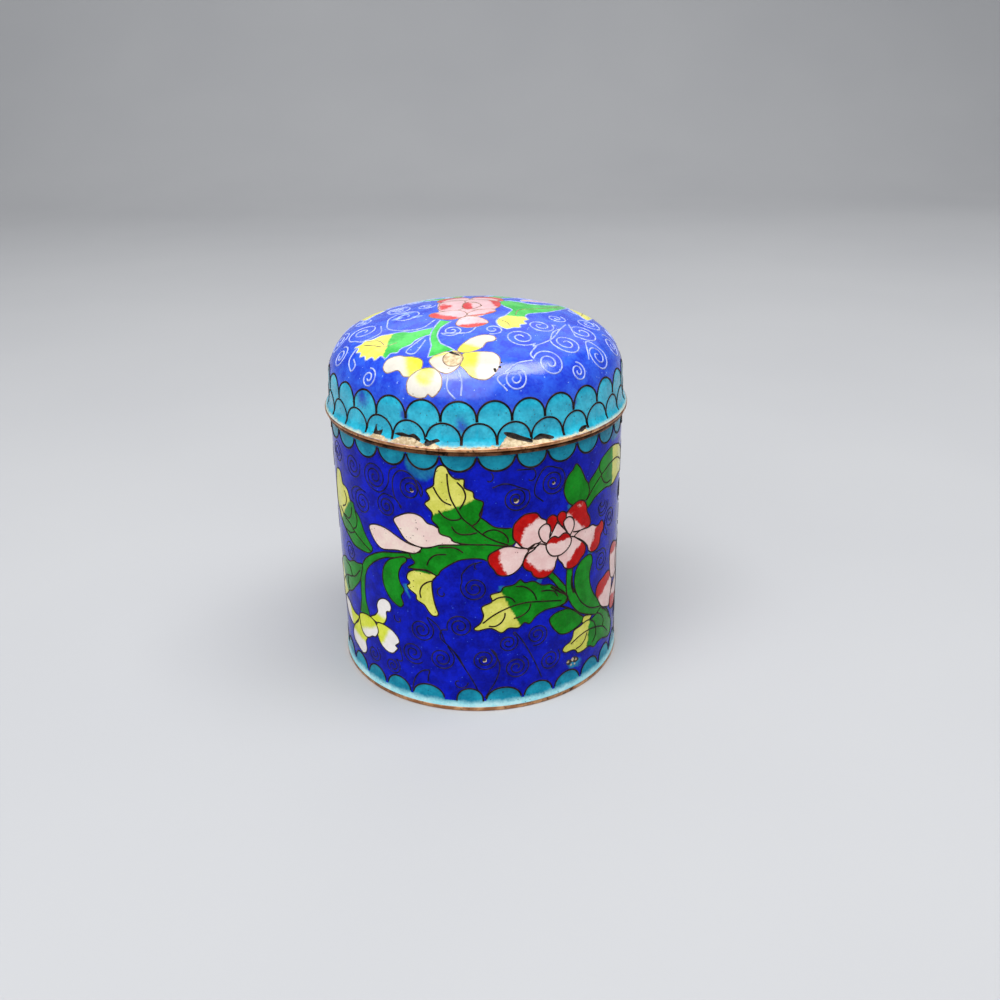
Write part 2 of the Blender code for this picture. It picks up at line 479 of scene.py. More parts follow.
GREEN_BAND = ((7.4, 49.2), (2.0, 49.8), (-4.0, 50.2), (-10.0, 49.6), (-12.6, 48.4), (-15.0, 47.9),
              (-15.6, 46.6), (-18.4, 45.8), (-18.0, 44.4), (-17.2, 43.3), (-19.2, 41.6), (-17.0, 41.6),
              (-13.8, 41.8), (-11.2, 40.6), (-10.0, 42.2), (-7.6, 44.1), (-5.0, 45.5), (-2.0, 46.0),
              (0.6, 45.8), (2.6, 45.0), (6.0, 46.0))
UPPER_LEAF = ((-8.9, 71.1), (-7.7, 70.5), (-7.0, 69.0), (-5.6, 67.7), (-3.5, 67.6), (-3.4, 65.4),
              (-1.4, 64.3), (-1.0, 62.6), (1.1, 61.5), (0.6, 59.4), (0.1, 57.8), (1.6, 56.4), (3.8, 54.6),
              (6.4, 54.0), (9.6, 53.4), (8.4, 49.2), (2.0, 49.8), (-3.0, 50.0), (-6.4, 50.6), (-7.4, 51.8),
              (-9.9, 52.6), (-10.4, 54.5), (-11.9, 56.2), (-11.8, 58.2), (-13.6, 60.4), (-12.3, 61.8),
              (-12.6, 63.0), (-13.1, 64.2), (-11.2, 65.6), (-10.9, 67.6), (-10.2, 70.2))
UPPER_VEINS = (
    ((-7.6, 69.0), (-7.5, 66.0), (-6.9, 62.5), (-5.4, 59.4), (-4.0, 57.0), (-2.0, 55.2), (0.6, 52.8),
     (3.6, 50.9), (7.2, 49.3)),
    ((-11.2, 65.2), (-10.2, 63.2), (-8.8, 61.5), (-6.8, 60.6)),
    ((-5.2, 66.8), (-3.8, 65.2), (-3.2, 63.2), (-3.7, 61.4), (-4.8, 59.6)),
    ((-10.1, 59.0), (-8.8, 57.4), (-7.0, 56.6), (-5.0, 56.8), (-4.2, 57.6)),
    ((-6.9, 54.8), (-6.0, 53.4), (-4.5, 52.7), (-2.4, 52.8), (-0.6, 53.2)),
    ((0.9, 59.8), (0.5, 57.8), (-0.5, 56.0), (-1.8, 55.1)),
    ((0.6, 52.6), (2.0, 53.6), (4.0, 53.8), (6.0, 52.7), (7.1, 51.2), (7.2, 50.0)),
)
LOWER_LEAF = ((24.4, 30.2), (23.2, 32.2), (20.6, 34.4), (18.8, 35.8), (16.4, 36.2), (13.9, 37.9),
              (11.6, 37.9), (10.3, 39.0), (8.6, 37.8), (5.9, 37.4), (5.2, 36.2), (2.5, 35.4), (2.8, 33.4),
              (0.2, 31.9), (0.6, 29.4), (-0.2, 27.2), (-1.9, 25.6), (-1.0, 24.9), (2.4, 25.5), (5.2, 23.9),
              (7.2, 25.1), (9.8, 24.8), (11.4, 26.1), (12.9, 25.5), (14.8, 27.4), (17.5, 28.5),
              (20.5, 28.4), (23.0, 28.4))
LOWER_VEINS = (
    ((0.4, 27.1), (3.0, 29.2), (6.0, 30.8), (9.0, 31.7), (12.0, 32.0), (15.0, 31.6), (18.0, 31.0),
     (22.4, 29.9)),
    ((3.0, 33.6), (4.5, 34.4), (6.5, 34.5), (8.0, 33.8), (8.9, 32.6)),
    ((9.1, 37.2), (11.2, 36.8), (13.0, 35.5), (14.2, 33.9), (14.8, 32.2)),
    ((16.2, 34.4), (18.0, 34.2), (20.0, 33.4), (21.2, 31.6)),
    ((1.9, 26.2), (3.5, 26.0), (5.2, 27.0), (6.1, 28.6), (6.2, 29.8)),
    ((8.5, 27.8), (10.5, 28.2), (12.5, 29.5), (13.2, 31.4)),
)
LEFT_LEAF = ((-31.4, 42.9), (-31.2, 44.0), (-32.6, 45.6), (-34.0, 47.3), (-35.2, 49.6), (-36.2, 51.2),
             (-38.2, 52.7), (-38.8, 54.4), (-40.6, 54.6), (-41.6, 56.8), (-43.2, 57.6), (-45.0, 57.7),
             (-45.6, 59.2), (-46.4, 60.8), (-48.2, 61.0), (-50.6, 59.6), (-52.6, 55.0), (-53.0, 50.0),
             (-50.0, 47.2), (-48.2, 45.6), (-45.2, 44.0), (-42.8, 42.8), (-39.6, 41.5), (-35.0, 41.5),
             (-32.6, 41.9))
LEFT_VEINS = (
    ((-31.8, 42.6), (-35.5, 44.2), (-39.0, 45.7), (-42.0, 47.3), (-45.5, 48.0), (-49.0, 49.6)),
    ((-45.4, 48.6), (-42.5, 48.5), (-40.6, 50.4), (-40.0, 52.6)),
    ((-40.2, 46.2), (-38.2, 47.6), (-37.4, 50.0), (-38.2, 52.2)),
    ((-45.0, 44.4), (-42.0, 44.4), (-39.4, 45.6)),
    ((-46.4, 50.6), (-44.0, 52.0), (-43.0, 54.2), (-44.0, 56.0)),
)
LOW_LEFT_LEAF = ((-36.4, 37.0), (-39.0, 36.4), (-41.6, 36.1), (-45.0, 34.5), (-48.6, 34.4), (-53.0, 32.0),
                 (-56.6, 28.0), (-58.6, 22.0), (-56.0, 18.6), (-52.0, 20.4), (-49.4, 22.2), (-47.0, 24.2),
                 (-44.2, 25.6), (-41.4, 28.1), (-38.6, 31.0), (-37.3, 33.6))
LOW_LEFT_VEINS = (
    ((-38.0, 34.6), (-41.0, 31.6), (-44.5, 30.0), (-49.0, 28.2), (-54.0, 24.0)),
    ((-43.0, 30.6), (-44.6, 33.0), (-47.6, 33.4)),
    ((-47.0, 29.0), (-47.6, 26.6), (-46.4, 25.2)),
)
TIP_LEAF = ((26.6, 67.7), (28.0, 66.4), (29.2, 64.4), (30.2, 62.4), (31.4, 60.8), (31.8, 58.4),
            (30.4, 56.6), (26.2, 56.5), (24.4, 57.5), (23.2, 59.5), (22.7, 61.5), (23.1, 63.6),
            (24.1, 65.3), (25.5, 66.4))
RIGHT_LEAF = ((30.6, 56.4), (31.6, 60.9), (33.5, 62.6), (35.5, 64.1), (36.8, 65.6), (38.6, 66.5),
              (42.0, 67.3), (45.0, 67.2), (48.0, 66.4), (51.0, 65.2), (55.0, 62.0), (58.0, 57.4),
              (55.0, 56.0), (51.0, 56.8), (48.0, 56.6), (45.0, 56.0), (42.5, 56.2), (40.0, 56.8),
              (37.0, 56.6), (34.2, 55.9), (31.8, 54.2), (30.6, 54.6))
RIGHT_VEINS = (
    ((30.8, 56.4), (33.5, 59.0), (36.0, 60.6), (39.0, 62.0), (42.0, 62.8), (46.0, 62.9), (50.0, 61.8),
     (55.0, 59.2)),
    ((37.2, 61.2), (38.5, 59.2), (40.5, 57.9), (43.0, 57.8)),
    ((36.4, 65.4), (36.2, 63.4), (37.4, 61.6)),
)
BENT_LEAF = ((31.0, 40.0), (33.2, 39.8), (34.1, 37.6), (33.1, 34.6), (33.1, 32.0), (34.0, 29.2),
             (35.6, 26.4), (38.0, 23.6), (39.4, 21.4), (36.6, 22.0), (34.2, 23.0), (31.9, 24.6),
             (29.5, 27.0), (27.6, 30.4), (26.8, 33.6), (27.1, 36.6), (28.6, 38.9))
LOW_LEAF = ((18.7, 25.3), (20.2, 26.5), (22.5, 26.8), (25.0, 26.5), (27.2, 25.0), (29.2, 23.0),
            (30.6, 21.7), (30.0, 20.2), (28.0, 19.5), (25.0, 19.0), (22.4, 19.5), (20.8, 21.0),
            (19.4, 23.0))
YELLOW_LEAF = ((23.1, 14.0), (23.8, 15.2), (25.6, 15.8), (26.6, 17.1), (27.1, 18.8), (29.4, 19.3),
               (32.0, 19.8), (34.4, 19.4), (36.8, 19.8), (39.4, 20.6), (41.2, 19.2), (43.6, 18.2),
               (46.0, 15.4), (48.6, 10.8), (47.6, 7.9), (44.6, 8.2), (41.0, 9.8), (38.2, 10.1), (36.2, 9.5),
               (33.6, 11.0), (31.0, 10.8), (28.8, 11.0), (27.8, 12.3), (26.4, 12.9), (24.2, 13.0))
YELLOW_VEINS = (
    ((26.0, 15.0), (29.0, 16.1), (32.0, 16.5), (35.5, 16.0), (39.0, 14.7), (42.0, 13.0), (45.0, 10.0)),
    ((28.0, 12.6), (30.0, 12.9), (31.7, 14.2), (32.5, 15.9)),
    ((34.0, 19.2), (35.8, 17.8), (36.6, 16.0), (37.0, 14.4), (36.6, 12.8), (35.2, 11.4)),
    ((37.2, 20.0), (39.8, 18.2), (41.4, 15.8), (41.0, 13.8)),
    ((42.2, 18.4), (44.5, 16.6), (46.5, 13.6)),
)


def upper_leaf(sheet):
    """The serrated leaf over the branch, yellow at its upper end."""
    veined(sheet, UPPER_LEAF, past((-6.2, 60.0), (-0.38, 0.92)), UPPER_VEINS)


def lower_leaf(sheet):
    """The serrated leaf under the peony, yellow at its left end."""
    veined(sheet, LOWER_LEAF, past((7.7, 31.0), (-0.91, -0.41)), LOWER_VEINS)


def folded_leaf(sheet, veins):
    """The small leaf under the branch, yellow below its fold."""
    veined(sheet, FOLDED_LEAF, lambda x, y: (40.9 - y) * 1.4, veins)


def buds(sheet):
    """The two halves of the opening bud."""
    sheet.field(BUD_SMALL, "bud")
    sheet.field(BUD_LARGE, "bud")


def petals(sheet, table, enamel):
    """Petals with the line past which each has its second colour."""
    for marks, turn in table:
        sheet.field(marks, enamel, turn)


def left_branch(sheet):
    """The branch to the left of the peony, with its leaves, bud and blossom."""
    stem(sheet, ((-16.6, 45.2), (-19.0, 45.0), (-23.0, 44.2), (-27.0, 43.2), (-31.0, 41.0), (-34.2, 38.2),
                 (-36.0, 35.0), (-36.8, 31.0), (-37.0, 27.0), (-36.8, 21.4)),
         (1.4, 1.5, 1.5, 1.9, 2.3, 2.2, 2.1, 2.4, 5.2))
    veined(sheet, LOW_LEFT_LEAF, past((-50.6, 26.0), (-0.8, -0.6)), LOW_LEFT_VEINS)
    veined(sheet, LEFT_LEAF, past((-42.6, 52.4), (-0.72, 0.70)), LEFT_VEINS)
    veined(sheet, CRESCENT, all_first, ())
    veined(sheet, GREEN_BAND, all_first, (
        ((-13.8, 43.2), (-13.0, 45.0), (-11.2, 46.5), (-8.5, 46.9)),
        ((-10.6, 48.6), (-7.2, 49.0), (-5.4, 48.5), (-4.2, 47.6)),
    ))
    folded_leaf(sheet, (((-12.4, 38.9), (-14.0, 38.2), (-15.5, 36.8), (-16.1, 35.0), (-15.9, 33.4)),))
    buds(sheet)
    petals(sheet, BLOSSOM_PETALS, "blossom")


# The second peony: each petal's outline, a mark on the line where its red begins, and the way past it.
# Petals whose outline starts left of the edge have mirrored ones beside them.
SIDE_PEONY_MIDDLE = 55.5
SIDE_PEONY_EDGE = 50.0
SIDE_PEONY = (
    (((38.4, 22.6), (37.4, 24.2), (36.3, 26.0), (36.6, 28.2), (38.0, 29.4), (40.4, 29.8), (43.0, 30.3),
      (45.4, 29.4), (47.4, 27.0), (47.0, 22.0), (45.4, 18.4), (42.6, 19.2), (40.0, 20.6)), (42.0, 26.0),
     (-0.42, 0.9)),
    (((50.4, 24.6), (46.6, 21.6), (46.0, 17.6), (49.0, 15.4), (53.0, 16.0), (55.4, 18.6), (55.4, 24.0),
      (53.0, 27.0)), (50.6, 19.6), (-0.3, -0.95)),
    (((45.6, 28.4), (44.8, 31.4), (44.6, 34.6), (45.2, 36.6), (47.4, 37.4), (50.4, 36.4), (53.6, 34.4),
      (56.4, 30.4), (55.0, 26.4), (50.6, 25.2), (47.0, 26.4)), (49.0, 34.0), (0.1, 1.0)),
    (((52.4, 27.0), (51.8, 30.4), (53.0, 33.2), (55.5, 34.2), (58.0, 33.2), (59.2, 30.4), (58.6, 27.0),
      (55.5, 25.2)), (55.5, 31.6), (0.0, 1.0)),
)


def right_branch(sheet):
    """The stems and leaves under and beside the peony."""
    veined(sheet, RIGHT_LEAF, past((44.4, 60.0), (1.0, 0.05)), RIGHT_VEINS)
    veined(sheet, TIP_LEAF, all_first, ())
    stem(sheet, ((18.0, 39.6), (20.2, 37.0), (22.4, 34.0), (24.6, 30.6)), (1.6, 1.7, 2.2))
    stem(sheet, ((25.2, 39.4), (25.0, 36.0), (25.3, 32.0), (27.0, 28.4), (30.0, 25.2), (34.0, 22.8),
                 (38.0, 20.6), (42.0, 16.6), (46.0, 11.0)), (2.0, 2.2, 2.8, 3.6, 3.4, 2.8, 2.6, 2.6))
    veined(sheet, BENT_LEAF, all_first, ())
    lower_leaf(sheet)
    for marks in (
        ((19.0, 35.0), (21.4, 33.0), (24.2, 30.8), (24.4, 29.0), (22.0, 28.3)),
        ((22.2, 28.2), (24.4, 27.0), (26.8, 25.4)),
        ((25.9, 36.2), (25.8, 33.6), (26.6, 30.8)),
    ):
        sheet.wire(bend(marks), BOLD_RADIUS)
    veined(sheet, LOW_LEAF, all_first, ())
    sheet.field(((30.4, 19.8), (30.8, 21.6), (32.6, 21.4), (34.4, 20.5), (33.0, 19.6)), "leaf", all_second)
    veined(sheet, YELLOW_LEAF, past((33.0, 15.0), (-1.0, 0.1)), YELLOW_VEINS)
    # A second peony, whose left petals look round the right side.
    for marks, mark, towards in SIDE_PEONY:
        sheet.field(marks, "petal", past(mark, towards))
        if marks[0][0] < SIDE_PEONY_EDGE:
            mirrored = [(2.0 * SIDE_PEONY_MIDDLE - x, y) for x, y in marks[::-1]]
            turn = past((2.0 * SIDE_PEONY_MIDDLE - mark[0], mark[1]), (-towards[0], towards[1]))
            sheet.field(mirrored, "petal", turn)


# Pits in the wall, and the chip above the foot with what is left in it: places and sizes.
WALL_PITS = (((9.2, 61.4), 0.6), ((0.6, 16.0), 0.6), ((19.4, 64.4), 0.4), ((-17.2, 63.8), 0.5))
WALL_CHIP = ((24.4, 9.4), (25.0, 10.4), (26.2, 10.0), (27.0, 10.6), (28.4, 10.0), (29.2, 8.8), (27.8, 8.4),
             (26.6, 9.0), (25.4, 8.4))
WALL_CHIP_CRUMBS = (((25.2, 9.5), 0.45), ((26.8, 9.7), 0.5), ((28.2, 9.2), 0.4), ((26.2, 8.2), 0.35),
                    ((27.6, 8.0), 0.3))


def front_spray(sheet):
    """Everything on the front of the wall over the scrolls."""
    left_branch(sheet)
    upper_leaf(sheet)
    right_branch(sheet)
    peony(sheet)
    for centre, size in WALL_PITS:
        pit(sheet, centre, size)
    sheet.cell(bend(WALL_CHIP, closed=True, step=FINE_STEP), "dark_break_and_shadow", depth=0.25)
    for centre, size in WALL_CHIP_CRUMBS:
        sheet.cell(blob(centre, size), "filler", depth=0.12)


# Scrolls: centre, radius, turns, angle of the outer end, hand, and the marks of the tail.
WALL_SCROLLS = (
    ((-47.0, 66.0), 3.3, 2.1, 200, 1, ()),
    ((-37.5, 65.5), 3.5, 2.2, 20, 1, ()),
    ((-28.5, 65.0), 3.8, 2.3, 210, 1, ((-30.2, 61.7), (-27.0, 61.0), (-24.2, 63.6), (-23.2, 67.8),
                                       (-21.0, 69.2))),
    ((-17.5, 63.8), 3.5, 2.1, 330, -1, ((-16.5, 67.2), (-20.0, 68.4), (-22.4, 65.6), (-22.2, 61.0),
                                        (-20.2, 58.4))),
    ((-34.0, 56.2), 3.6, 2.2, 60, -1, ((-36.0, 60.0), (-39.0, 58.0), (-38.6, 55.4))),
    ((-25.0, 57.7), 3.0, 2.1, 140, -1, ((-25.4, 61.0), (-21.8, 60.2), (-20.4, 58.0))),
    ((9.4, 61.8), 3.6, 2.3, 30, 1, ((7.0, 66.0), (3.4, 65.2))),
    ((19.4, 64.6), 3.8, 2.3, 60, 1, ((17.4, 69.0), (15.0, 66.2), (14.2, 62.4), (16.6, 59.8))),
    ((12.6, 66.8), 2.6, 0.4, 60, 1, ((9.6, 69.4),)),
    ((2.2, 67.4), 2.0, 0.4, 60, 1, ()),
    ((38.0, 53.2), 2.0, 0.6, 0, 1, ()),
    ((37.6, 52.6), 3.4, 0.6, 0, 1, ()),
    ((37.4, 51.8), 4.6, 0.45, 10, 1, ()),
    ((43.4, 46.6), 3.4, 2.2, 240, 1, ((41.6, 42.2), (39.6, 44.0), (40.0, 47.4))),
    ((38.6, 35.8), 3.5, 2.2, 100, 1, ((35.2, 39.4),)),
    ((-43.0, 38.4), 2.9, 2.1, 180, 1, ()),
    ((-1.6, 37.4), 3.6, 2.2, 150, -1, ((-4.6, 41.6), (-2.6, 44.0), (-1.0, 44.8))),
    ((-0.6, 43.0), 2.2, 0.35, 60, -1, ()),
    ((-9.9, 35.6), 1.7, 0.8, 100, -1, ()),
    ((-16.2, 23.7), 3.5, 2.2, 20, 1, ((-14.4, 27.8), (-11.4, 25.4), (-9.6, 20.6))),
    ((-5.6, 26.0), 3.5, 2.2, 200, 1, ((-10.6, 24.4), (-10.8, 22.0), (-8.0, 19.0), (-5.4, 14.6), (-2.6, 9.4),
                                      (-0.2, 3.6))),
    ((7.0, 20.6), 2.8, 2.1, 60, 1, ((8.8, 23.6), (11.0, 20.4), (13.8, 14.6), (16.4, 8.0))),
    ((15.0, 21.6), 3.3, 2.2, 250, -1, ()),
    ((-19.0, 15.9), 3.5, 2.2, 320, 1, ()),
    ((-10.8, 15.8), 3.5, 2.2, 30, 1, ((-9.0, 19.8), (-6.4, 17.0), (-4.6, 13.2))),
    ((0.6, 16.0), 3.6, 2.2, 60, 1, ((4.6, 14.6), (3.8, 9.8), (0.6, 4.0))),
    ((9.2, 12.8), 3.6, 2.3, 60, 1, ()),
    ((19.0, 12.8), 3.3, 2.2, 40, 1, ()),
    ((-26.2, 9.6), 2.7, 2.1, 60, 1, ((-22.8, 12.4), (-23.4, 17.0))),
    ((-23.2, 25.2), 1.6, 0.7, 150, -1, ()),
    ((-33.6, 10.4), 2.7, 2.0, 60, 1, ()),
    ((-6.2, 8.8), 2.4, 0.7, 0, 1, ()),
)
# The back's scrolls stand in even rows and columns, which begin this far round from the front.
BACK_START = 55.0
BACK_COLUMNS = 16
BACK_ROWS = 6
BACK_LOWEST = 12.6
BACK_ROW_STEP = 9.6
BACK_RADIUS = 3.8
BACK_TURNS = 2.4
WALL_HOOK = ((-19.8, 4.4), (-18.8, 8.0), (-16.8, 10.6), (-14.5, 11.4), (-14.8, 9.6), (-15.0, 7.8))


def wall_scrolls(sheet):
    """The scrolls that fill the cobalt ground."""
    for centre, radius, turns, start, hand, tail in WALL_SCROLLS:
        scroll(sheet, centre, radius, turns, start, hand, tail)
    sheet.wire(bend(WALL_HOOK), WIRE_RADIUS, "scroll")


# Junctions of the border's arches that show, from left to right. The rest are evenly spaced.
FOOT_JUNCTIONS = (-45.5, -37.0, -28.7, -20.0, -10.0, 0.5, 10.9, 20.1, 29.7, 38.6, 46.6)
MOUTH_JUNCTIONS = (-53.6, -44.5, -35.6, -26.8, -18.2, -9.4, -0.2, 9.4, 17.6, 26.7, 35.3, 44.0, 52.6)
FOOT_COUNT = 28
MOUTH_COUNT = 29

# Heights of the two borders, and half the gap between their arches.
# One scallop begins far from its junction.
FOOT_STRIP = 3.0
FOOT_FADE_TOP = 2.7
FOOT_SCALLOP_TOP = 6.9
MOUTH_LAPPET_FOOT = 69.6
FOOT_GAP = 0.4
MOUTH_GAP = 0.2
WIDE_GAP = 3.0
WIDE_JUNCTION = -10.0
EDGE_GAP = 0.02


def junctions(shown, count):
    """The shown junctions, with evenly spaced ones for the rest of the way to the seam at the back."""
    rest = ROUND - (shown[-1] - shown[0])
    more = count - (len(shown) - 1)
    right_share = (HALF_ROUND - shown[-1]) / rest
    on_right = round(more * right_share)
    on_left = more - on_right
    right = [shown[-1] + (HALF_ROUND - shown[-1]) * (i + 1) / on_right for i in range(on_right)]
    left = [-HALF_ROUND + (shown[0] + HALF_ROUND) * i / on_left for i in range(on_left)]
    return left + list(shown) + right


def back_scrolls(sheet):
    """Evenly spaced scrolls round the sides and back."""
    for row in range(BACK_ROWS):
        for column in range(BACK_COLUMNS):
            share = (column + 0.5 * (row % 2)) / BACK_COLUMNS
            s = BACK_START + (ROUND - 2.0 * BACK_START) * share
            height = BACK_LOWEST + BACK_ROW_STEP * row
            sway = noise.noise(Vector((s * 0.3, height * 0.3, 4.0)))
            centre = (s if s < HALF_ROUND else s - ROUND, height + sway)
            hand = 1 if (row + column) % 3 else -1
            scroll(sheet, centre, BACK_RADIUS + 0.8 * sway, BACK_TURNS, 67.0 * (row + 2 * column), hand)


def wall_borders(sheet):
    """The scallops along the foot, pale at their lower edge, and the lappets under the mouth."""
    fade = lambda x, y: FOOT_FADE_TOP - y
    strip = ((-HALF_ROUND, WALL_FOOT), (HALF_ROUND, WALL_FOOT), (HALF_ROUND, FOOT_STRIP),
             (-HALF_ROUND, FOOT_STRIP))
    sheet.cell([Vector(mark) for mark in strip], "turquoise", fade)
    marks = junctions(FOOT_JUNCTIONS, FOOT_COUNT)
    for left, right in zip(marks, marks[1:]):
        gap = WIDE_GAP if abs(left - WIDE_JUNCTION) < 0.1 else FOOT_GAP
        arch(sheet, left + gap, right - FOOT_GAP, FOOT_STRIP, FOOT_SCALLOP_TOP, fade)
    marks = junctions(MOUTH_JUNCTIONS, MOUTH_COUNT)
    for left, right in zip(marks, marks[1:]):
        arch(sheet, left + MOUTH_GAP, right - MOUTH_GAP, WALL_TOP - EDGE_GAP, MOUTH_LAPPET_FOOT, None)


def back_sprays(sheet):
    """Plainer sprays of the same leaves and flowers on the sides and back."""
    sheet.spot = Spot(move=(76.0, -2.0))
    upper_leaf(sheet)
    lower_leaf(sheet)
    stem(sheet, ((14.0, 44.0), (22.0, 30.0), (20.0, 22.0), (10.0, 14.0)), (2.0, 2.4, 2.2, 0.4))
    peony(sheet)
    sheet.spot = Spot(move=(44.0 - HALF_ROUND, 2.0), about=(-20.0, 45.0), turn=-14.0)
    veined(sheet, GREEN_BAND, all_first, ())
    folded_leaf(sheet, ())
    veined(sheet, CRESCENT, all_first, ())
    buds(sheet)
    sheet.spot = Spot(move=(58.0 - HALF_ROUND, 2.0))
    petals(sheet, BLOSSOM_PETALS, "blossom")
    sheet.spot = Spot()


def wall_drawing():
    """The whole wall: scrolls, borders, sprays and worn places."""
    sheet = Sheet(SCROLL_RADIUS)
    wall_scrolls(sheet)
    back_scrolls(sheet)
    wall_borders(sheet)
    front_spray(sheet)
    back_sprays(sheet)
    return sheet


# Where turquoise bled into the wall's cobalt: centre, half width, half height.
WALL_BLEEDS = (
    ((-14.2, 70.6), 3.8, 3.6),
    ((-16.6, 71.2), 1.8, 2.2),
    ((-20.3, 35.8), 0.9, 1.4),
    ((-19.6, 33.6), 0.8, 1.0),
    ((27.4, 8.3), 2.6, 1.3),
    ((29.4, 7.6), 1.6, 0.9),
    ((24.6, 56.4), 1.0, 1.0),
    ((5.4, 37.2), 0.9, 0.9),
    ((15.6, 37.4), 1.4, 0.9),
    ((45.6, 69.8), 3.6, 1.4),
    ((33.0, 40.6), 1.2, 1.0),
    ((-6.2, 46.3), 1.6, 0.5),
)


# How far inside its ovals a place with none near it is.
UNMARKED = -2.0


def blurred_ovals(places, soft):
    """How far inside one of some blurred ovals a place is."""

    def reach(x, y):
        total = np.full(np.shape(x), UNMARKED)
        for centre, across, along in places:
            gone = np.hypot((x - centre[0]) / across, (y - centre[1]) / along)
            total = np.maximum(total, (1.0 - gone) * soft)
        return total

    return reach


wall_smudge = blurred_ovals(WALL_BLEEDS, 2.4)


# The lid's picture


def lid_side(height):
    """The lid's outer radius on its straight side."""
    over_collar = COLLAR_RADIUS + COLLAR_CLEARANCE + LID_THICKNESS
    return over_collar + SIDE_SPREAD * (COLLAR_TOP - height)


# Points along each of the profile's two arcs, and along its side and its flare.
ARC_POINTS = 60
SIDE_POINTS = 12


def lid_profile():
    """The lid's outer line from the apex to its lower edge: arc length, radius, height."""
    along = lid_side(SHOULDER_HEIGHT) - SHOULDER_RADIUS
    apex = SHOULDER_RADIUS + CROWN_RISE
    crown = (along**2 + apex**2 - SHOULDER_RADIUS**2) / (2.0 * CROWN_RISE)
    centre = SHOULDER_HEIGHT + apex - crown
    meets = math.atan2(along, SHOULDER_HEIGHT - centre)
    arc = crown - LID_SKIN_DROP
    points = [(arc * math.sin(a), centre + arc * math.cos(a)) for a in np.linspace(0.0, meets, ARC_POINTS)]
    for a in np.linspace(meets, 0.5 * math.pi, ARC_POINTS)[1:]:
        # The drop fades out down the shoulder.
        arc = SHOULDER_RADIUS - LID_SKIN_DROP * (1.0 - (a - meets) / (0.5 * math.pi - meets))
        points.append((along + arc * math.sin(a), SHOULDER_HEIGHT + arc * math.cos(a)))
    for height in np.linspace(SHOULDER_HEIGHT, LID_FLARE_TOP, SIDE_POINTS)[1:]:
        points.append((lid_side(height), height))
    for share in np.linspace(0.0, 1.0, SIDE_POINTS)[1:]:
        height = LID_FLARE_TOP + (LID_FOOT - LID_FLARE_TOP) * share
        points.append((lid_side(LID_FLARE_TOP) + LID_FLARE * share**2, height))
    points = np.array(points)
    steps = np.hypot(*np.diff(points, axis=0).T)
    arcs = np.concatenate([[0.0], np.cumsum(steps)])
    return arcs, points[:, 0], points[:, 1]


LID_ARCS, LID_RADII, LID_HEIGHTS = lid_profile()
LID_REACH = float(LID_ARCS[-1])


def on_band(s, up):
    """A mark on the lid's side: arc length at the wall's radius, and distance up from the rim's foot."""
    angle = s / WALL_RADIUS
    reach = LID_REACH + LID_FOOT - LID_SEAT - up
    return Vector((reach * math.sin(angle), -reach * math.cos(angle)))


# Junctions of the lid's two rows of scales that show.
LOW_JUNCTIONS = (-46.8, -38.4, -29.9, -21.5, -12.6, -3.8, 4.7, 13.2, 22.0, 30.0, 38.5, 45.8)
HIGH_JUNCTIONS = (-43.0, -34.9, -26.5, -17.8, -8.8, 0.0, 8.5, 17.0, 25.5, 34.3, 42.8)
SCALE_COUNT = 29

# Heights of the rows above the rim's foot, half the gap between scales, and where the low wires end.
LID_EDGE = LID_FOOT - LID_SEAT
HIGH_SCALE_FOOT = 3.0
HIGH_SCALE_TOP = 12.5
LOW_SCALE_TOP = 7.1
LOW_WIRE_END = 0.9
SCALE_GAP = 0.12
LOW_FADE = 0.5

# The low scales and the losses begin this far above the lid's enamelled edge.
LOSS_LIFT = 0.03


def round_junctions(shown, count):
    """The shown junctions, then evenly spaced ones back round to the first."""
    rest = ROUND - (shown[-1] - shown[0])
    more = count - (len(shown) - 1)
    return list(shown) + [shown[-1] + rest * (i + 1) / more for i in range(more)]


